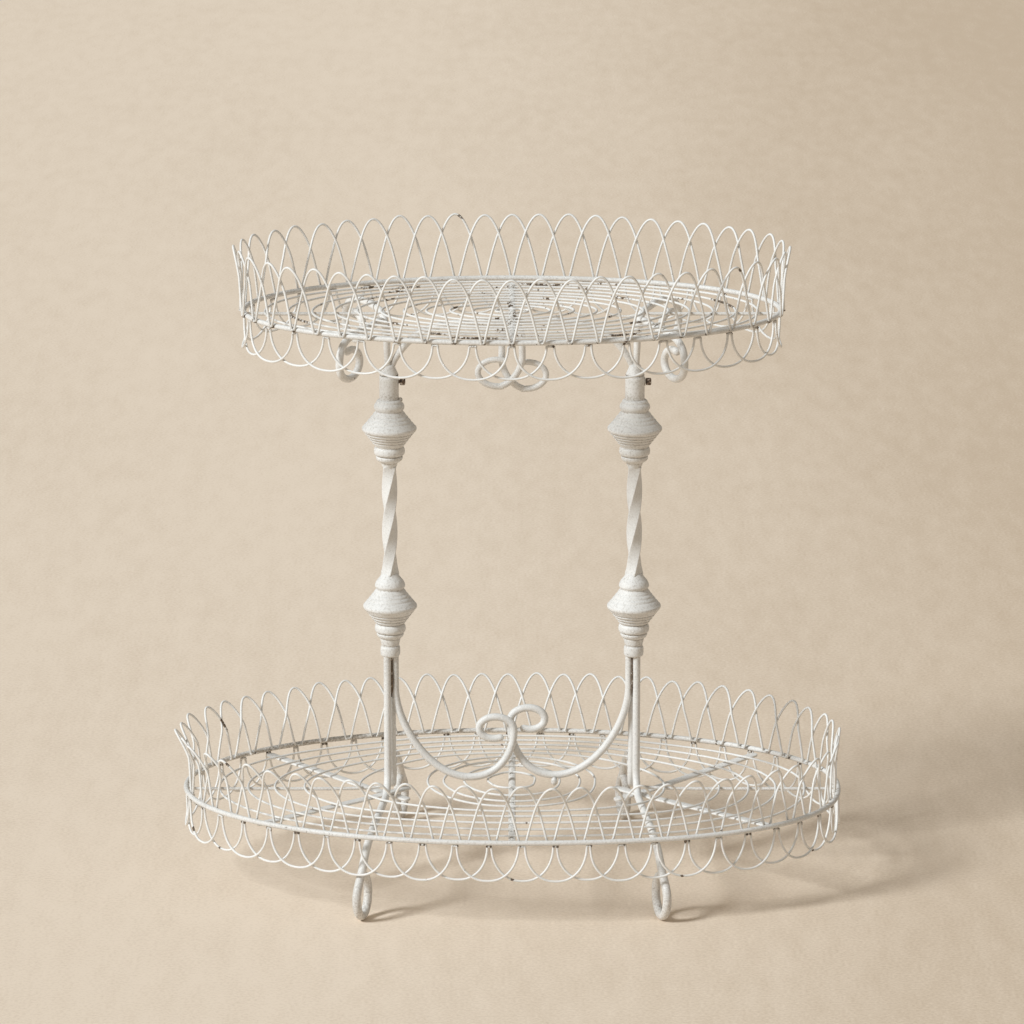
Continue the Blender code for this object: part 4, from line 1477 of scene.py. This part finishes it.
@dataclass
class Column:
    """One column: casting over the rods, twisted bar, casting with the socket, and set screw.

    The socket's radius is in millimetres, as outlines are.
    """

    side: Side
    bar_side: float = 13.7 * MM
    bar_twist: float = math.radians(230)
    bar_round: float = 1.1 * MM
    screw_drop: float = 7.5 * MM
    screw_head_half: float = 4.3 * MM
    screw_head_power: float = 2.5
    thread_pitch: float = 1.25 * MM
    socket_radius: float = 11.5

    def build(self) -> list[bpy.types.Object]:
        """Build the column's four pieces."""
        return [self.build_foot(), self.build_bar(), self.build_head(), self.build_screw()]

    def origin(self, part: str) -> tuple[str, Array]:
        """Find a piece's solid.

        Args:
            part: First part of the solid's name.

        Returns:
            The solid's name and the middle of its underside.
        """
        name = f"{part}_{word(self.side)}"
        low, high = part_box(name)
        return name, np.array(((low.x + high.x) / 2.0, 0.0, low.z))

    @staticmethod
    def bulb(profile: TurnedProfile, neck: float, crest: float, grooves: Sequence[float]) -> None:
        """Draw the grooved cone, the bulb and the softer cone over it that both castings have.

        Args:
            profile: Outline that has come to the neck.
            neck: Height of the neck.
            crest: Radius of the bulb.
            grooves: Where the lower cone's grooves lie, as shares of its way up.
        """
        profile.grooved(crest - 1.0, neck + 19.4, grooves, 1.5, 0.032)
        profile.bead(crest, neck + 24.4, crest - 1.2, 0.6)
        profile.grooved(17.0, neck + 42.6, (0.30, 0.52, 0.74), 0.55, 0.06)
        profile.line(16.3, neck + 43.4, 1).line(16.4, neck + 44.2, 1)

    def build_foot(self) -> bpy.types.Object:
        """Turn the casting over the rod bundle, with a dome at its top that the bar flares into.

        Returns:
            The piece.
        """
        name, origin = self.origin("foot_turning")
        profile = TurnedProfile(3.0, 0.6).line(9.6, 0.4).bead(11.9, 13.2, 10.4, 0.3)
        profile.line(9.9, 13.8, 1).line(10.6, 14.4, 1).line(12.2, 21.8).line(11.6, 22.4, 1)
        profile.line(12.4, 22.9, 1).sag(16.1, 27.6, -0.9).sag(15.2, 29.3, -0.5).line(14.9, 29.6, 1)
        profile.line(15.6, 30.1, 1).bead(18.5, 39.8, 16.9, 0.45).line(16.6, 40.4, 1)
        self.bulb(profile, 40.6, 32.3, (0.04, 0.25, 0.46, 0.67))
        profile.sag(18.2, 88.0, -0.4).sag(15.6, 94.4, -0.4).sag(9.6, 102.4, 0.3).line(6.0, 104.0)
        draft = MeshDraft()
        draft.turned(profile.metres(), origin, *profile.marks())
        return draft.piece(name, CASTING_PAINT, Body.BASE, name)

    def build_head(self) -> bpy.types.Object:
        """Turn the casting with the socket: the right one has a boss, the left one a lug.

        Returns:
            The piece.
        """
        name, origin = self.origin("head_turning")
        socket = self.socket_radius
        profile = TurnedProfile(6.4, -7.0).sag(9.0, 1.0, 0.5).sag(10.4, 4.8, 0.2)
        profile.sag(15.9, 10.6, -1.6).sag(14.9, 12.9, -0.5).line(14.5, 13.2, 1).line(15.4, 13.7, 1)
        profile.bead(18.5, 23.4, 16.7, 0.45).line(16.4, 24.0, 1)
        self.bulb(profile, 24.2, 32.6, (0.32, 0.51, 0.70, 0.90))
        profile.sag(18.2, 72.6, -0.4).sag(15.9, 77.6, -0.6).line(15.5, 78.0, 1).sag(13.6, 81.2, -0.6)
        profile.line(socket, 81.8, 1).line(socket, 108.8, 12)
        profile.bead(socket - 0.2, 110.6, socket - 1.3, 0.5).line(8.7, 110.5).line(8.6, 70.0, 8)
        draft = MeshDraft()
        draft.turned(profile.metres(), origin, *profile.marks())
        if self.side is Side.RIGHT:
            boss = TurnedProfile(4.9, 0.0).line(4.9, socket + 0.5).bead(4.8, socket + 1.1, 3.6, 0.5)
            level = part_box(name)[1].z - self.screw_drop
            draft.turned(boss.metres()[1:], (origin[0], 0.0, level), 0.25, 0.5, Axis.X, 24)
        else:
            lug = origin + np.array((socket + 1.6, -2.0, 81.5)) * MM
            draft.lump(lug, ALONG_X, 3.0 * MM, 3.0 * MM, 0.45, 0.3)
        return draft.piece(name, CASTING_PAINT, Body.BASE, name)

    def build_bar(self) -> bpy.types.Object:
        """Twist the square bar along its whole length, from a corner on the +X side.

        Returns:
            The piece.
        """
        name, origin = self.origin("twisted_bar")
        low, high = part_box(name)
        share = np.linspace(0.0, 1.0, 73)
        path = origin + UP * (share * (high.z - low.z))[:, None]
        turns = math.pi / 4.0 + self.bar_twist * share
        guides = np.stack((np.cos(turns), np.sin(turns), np.zeros_like(turns)), axis=1)
        edge_wear = (0.06, 0.16, 0.24, 0.16, 0.06)
        outline = rounded_bar(self.bar_side, self.bar_side, self.bar_round, len(edge_wear))
        bottom = bump(share, 0.05)
        top = bump(share - 1.0, 0.05)
        outlines = (1.0 + 0.20 * bottom + 0.12 * top)[:, None, None] * outline
        draft = MeshDraft()
        draft.sweep(path, guides, outlines, np.tile(edge_wear, (len(path), 4)), 0.1 * (bottom + top))
        return draft.piece(name, ROD_PAINT, Body.BASE, name)

    def build_screw(self) -> bpy.types.Object:
        """Cut the rusty set screw, with a threaded shank and a square head.

        Returns:
            The piece.
        """
        name = f"set_screw_{word(self.side)}"
        low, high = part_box(name)
        centre = np.array((0.0, 0.0, (low.z + high.z) / 2.0))
        stations = np.array((6.5, 6.2, 5.4, 1.0, 0.3, 0.0)) * MM
        x = np.linspace(low.x, high.x - stations[0] + 0.1 * MM, 46)
        radii = (2.25 + 0.25 * wave(x - low.x, 1.0 / self.thread_pitch, 0.0)) * MM
        draft = MeshDraft()
        draft.turned(np.stack((radii, x), axis=1), centre, 0.5, 0.6, Axis.X, 16)
        sizes = np.array((0.70, 0.90, 1.0, 1.0, 0.84, 0.50)) * self.screw_head_half
        ring = circle(32)
        power = self.screw_head_power
        square = ring * (np.abs(ring) ** power).sum(axis=1, keepdims=True) ** (-1.0 / power)
        path = centre + ALONG_X * (high.x - stations)[:, None]
        draft.sweep(path, UP, sizes[:, None, None] * square, 0.5, 0.2)
        body = Body.LEFT_SCREW if self.side is Side.LEFT else Body.RIGHT_SCREW
        return draft.piece(name, IRON, body, name)


@dataclass
class Plug:
    """Plug that stands in a socket and gathers the upper tray's rods in a cone of braze.

    Its radius is in millimetres, as outlines are.
    """

    side: Side
    radius: float = 8.3

    def build(self) -> list[bpy.types.Object]:
        """Build the plug.

        Returns:
            Its piece.
        """
        name = f"plug_{word(self.side)}"
        low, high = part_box(name)
        origin = ((low.x + high.x) / 2.0, 0.0, low.z)
        top = (high.z - low.z) / MM
        profile = TurnedProfile(self.radius - 1.2, 0.0).line(self.radius, 1.2)
        profile.line(self.radius, top - 10.4, 8)
        profile.line(11.0, top - 10.3).line(11.3, top - 9.6).sag(6.6, top + 1.8, 0.3)
        profile.sag(3.0, top + 3.2, -0.4)
        wear, grime = profile.marks()
        shoulder = bump(np.array(profile.points)[:, 1] - top + 9.9, 0.9)
        draft = MeshDraft()
        draft.turned(profile.metres(), origin, wear + 0.5 * shoulder, grime + 0.5 * shoulder)
        return [draft.piece(name, CASTING_PAINT, Body.UPPER, name)]


@dataclass
class Studio:
    """Pale floor with painted shade towards the right, soft light from the front left, and the camera."""

    floor_colour: Colour = (0.91, 0.772, 0.627)
    # Darker floor colour, for the painted falloff and for the paper's own mottle
    floor_shade: Colour = (0.67, 0.535, 0.40)
    floor_half_size: float = 60.0
    sky: float = 0.315
    sky_colour: Colour = (1.0, 0.94, 0.845)
    lamp_strength: float = 3.0
    lamp_colour: Colour = (0.895, 0.955, 1.0)
    lamp_angle: float = math.radians(14)
    lamp_height: float = math.radians(36)
    lamp_heading: float = math.radians(58)
    lens: float = 211.6
    sensor: float = 36.0
    camera_place: tuple[float, float, float] = (0.0, -6.973, 2.1735)
    camera_pitch: float = math.radians(76.08)

    def build(self) -> None:
        """Build the floor, the lights and the camera."""
        self.build_floor()
        self.build_lights()
        self.build_camera()

    def build_floor(self) -> None:
        """A wide floor of paper with faint clouds in its colour, and painted shade that darkens it
        towards the right, as if the lamp's light fell off there.
        """
        tree = ShaderTree("floor_paper")
        place = tree.place()
        parts = tree.node("SeparateXYZ", {}, {0: place})
        # Painted shade: the floor turns towards its darker colour along +X
        painted_falloff = Signal(tree, parts.outputs[0]).between(-0.35, 1.1)
        stretched = tree.node("VectorMath", {"operation": "MULTIPLY"}, {0: place, 1: (1.0, 0.25, 1.0)})
        wash = Signal(tree, stretched.outputs[0])
        clouds = tree.noise(wash, 3.0, 4.0)
        mottle = tree.noise(wash, 34.0, 3.0, 0.6)
        fibres = tree.noise(place, 240.0, 3.0)
        # Painted shade of the falloff, mixed with the paper's own clouds, mottle and fibres
        shade = 0.12 + 0.82 * painted_falloff + 0.45 * (clouds - 0.5) + 0.60 * (mottle - 0.5)
        shade = shade + 1.3 * (fibres - 0.5)
        colour = tree.mix(shade, self.floor_colour, self.floor_shade)
        material = tree.surface({"Base Color": colour, "Roughness": 0.95, "Specular IOR Level": 0.1})
        size = self.floor_half_size
        corners = [(-size, -size, 0.0), (size, -size, 0.0), (size, size, 0.0), (-size, size, 0.0)]
        mesh = bpy.data.meshes.new("floor")
        mesh.from_pydata(corners, [], [(0, 1, 2, 3)])
        mesh.materials.append(material)
        link("floor", mesh)

    def build_lights(self) -> None:
        """A broad lamp from the front left and an even sky."""
        lamp = bpy.data.lights.new("window", "SUN")
        lamp.energy = self.lamp_strength
        lamp.color = self.lamp_colour
        lamp.angle = self.lamp_angle
        thing = link("window", lamp)
        thing.rotation_euler = (math.pi / 2.0 - self.lamp_height, 0.0, -self.lamp_heading)
        world = bpy.data.worlds.new("sky")
        world.use_nodes = True
        background = world.node_tree.nodes["Background"]
        background.inputs["Color"].default_value = (*self.sky_colour, 1.0)
        background.inputs["Strength"].default_value = self.sky
        bpy.context.scene.world = world

    def build_camera(self) -> None:
        """A long lens from the front, a little above the upper tray."""
        camera = bpy.data.cameras.new("camera")
        camera.lens = self.lens
        camera.sensor_width = self.sensor
        camera.dof.use_dof = False
        camera.clip_end = 500.0
        thing = link("camera", camera)
        thing.location = self.camera_place
        thing.rotation_euler = (self.camera_pitch, 0.0, 0.0)
        bpy.context.scene.camera = thing
        bpy.context.scene.view_settings.view_transform = "Standard"


def build_stand() -> list[Any]:
    """Lay out the sub-assemblies from the sizes of the solids.

    Returns:
        The sub-assemblies in the order that they are built.
    """
    foot_low, foot_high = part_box("foot_turning_right")
    column_x = (foot_low.x + foot_high.x) / 2.0
    end_rod_start = column_x + BUNDLE / 2.0 + ROD
    lower_rings = [(half_length * MM, half_width * MM) for half_length, half_width in (
        (353, 213), (318, 189), (286, 166), (250, 143), (184, 124),
        (101, 106), (82, 86), (58, 63), (28, 34))]
    upper_rings = [(319.0 * MM * share, 186.0 * MM * share) for share in 1.0 - np.arange(1, 12) / 11.7]
    scallop = {"power": 2.25, "level": -4.4 * MM, "foot_roundness": 0.002, "fullness": 0.5}
    lower = Tray(
        "lower", Body.BASE,
        HoopRow(60, span=0.87, height=71.0 * MM, seed=11, seat=-4.5 * MM, flare=15.2 * MM,
                right_flare=0.3),
        HoopRow(52, span=0.925, height=-42.9 * MM, seed=21, **scallop),
        lower_rings, range(1, 10), end_rod_start, uneven=0.7 * MM, floor_wear=0.40, binding_wear=0.10,
        arch_rust=0.15, scallop_rust=0.9, rear_left_shade=0.6, seed=31, dome=7.5 * MM, front_right=2.4)
    upper = Tray(
        "upper", Body.UPPER,
        HoopRow(48, span=0.93, height=78.0 * MM, seed=41, level=-0.5 * MM, seat=4.5 * MM, flare=5.6 * MM),
        HoopRow(36, span=0.915, height=-39.9 * MM, seed=51, **scallop),
        upper_rings, (2, 3, 5, 6, 8, 9, 11), end_rod_start, uneven=1.3 * MM, floor_wear=0.85,
        binding_wear=0.30, arch_rust=0.55, scallop_rust=0.12, rear_left_shade=0.1, seed=61)
    leg_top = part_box("leg_front_left")[1].z
    bracket_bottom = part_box("plug_left")[1].z - 4.0 * MM
    tenth = FULL_TURN / 10.0
    foot_curl = Curl(20.0 * MM, 25.7 * MM, sweep=8.0 * tenth, tightening=0.015 / tenth)
    bracket_curl = Curl(24.0 * MM, 18.4 * MM, sweep=8.0 * tenth, tightening=0.03 / tenth)
    lower_curl = Curl(22.5 * MM, 15.6 * MM, sweep=8.1 * tenth, tightening=0.055 / tenth)
    upper_curl = Curl(28.0 * MM, 18.7 * MM, sweep=8.0 * tenth, tightening=0.055 / tenth)
    legs = CurledRods(
        "leg", Body.BASE, lower, column_x, leg_top,
        places={End.FRONT: 169.0 * MM, End.REAR: 146.0 * MM},
        turns={End.FRONT: math.radians(13), End.REAR: math.radians(-14)},
        curl=foot_curl, curl_height=1.16 * ROD + foot_curl.half_height, room=13.2 * MM, necked=True,
        swell=0.16, foot_dirt=0.42, spread=4.4 * MM)
    brackets = CurledRods(
        "bracket", Body.UPPER, upper, column_x, bracket_bottom, places=dict.fromkeys(End, 182.0 * MM),
        turns=dict.fromkeys(End, math.radians(12)), curl=bracket_curl,
        curl_height=upper.rim_height - 41.0 * MM, room=41.2 * MM, pinch=0.22)
    lower_scrolls = LowerScrolls(
        "lower_scroll", Body.BASE, lower, column_x, leg_top, lower_curl, reach=2.5 * MM,
        fade=column_x - BUNDLE - LowerScrolls.low_x)
    upper_scrolls = UpperScrolls(
        "upper_scroll", Body.UPPER, upper, column_x, bracket_bottom, upper_curl, reach=12.0 * MM,
        fade=0.5 * (column_x - BUNDLE), pinch=0.22, taper=0.22)
    return [lower, Straps(lower, column_x), legs, lower_scrolls, *(Column(side) for side in Side),
            upper, *(Plug(side) for side in Side), brackets, upper_scrolls]


def main() -> None:
    """Build the studio and the stand."""
    logging.basicConfig(level=logging.INFO, format="%(message)s")
    Studio().build()
    for assembly in build_stand():
        for piece in assembly.build():
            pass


if __name__ == "__main__":
    main()
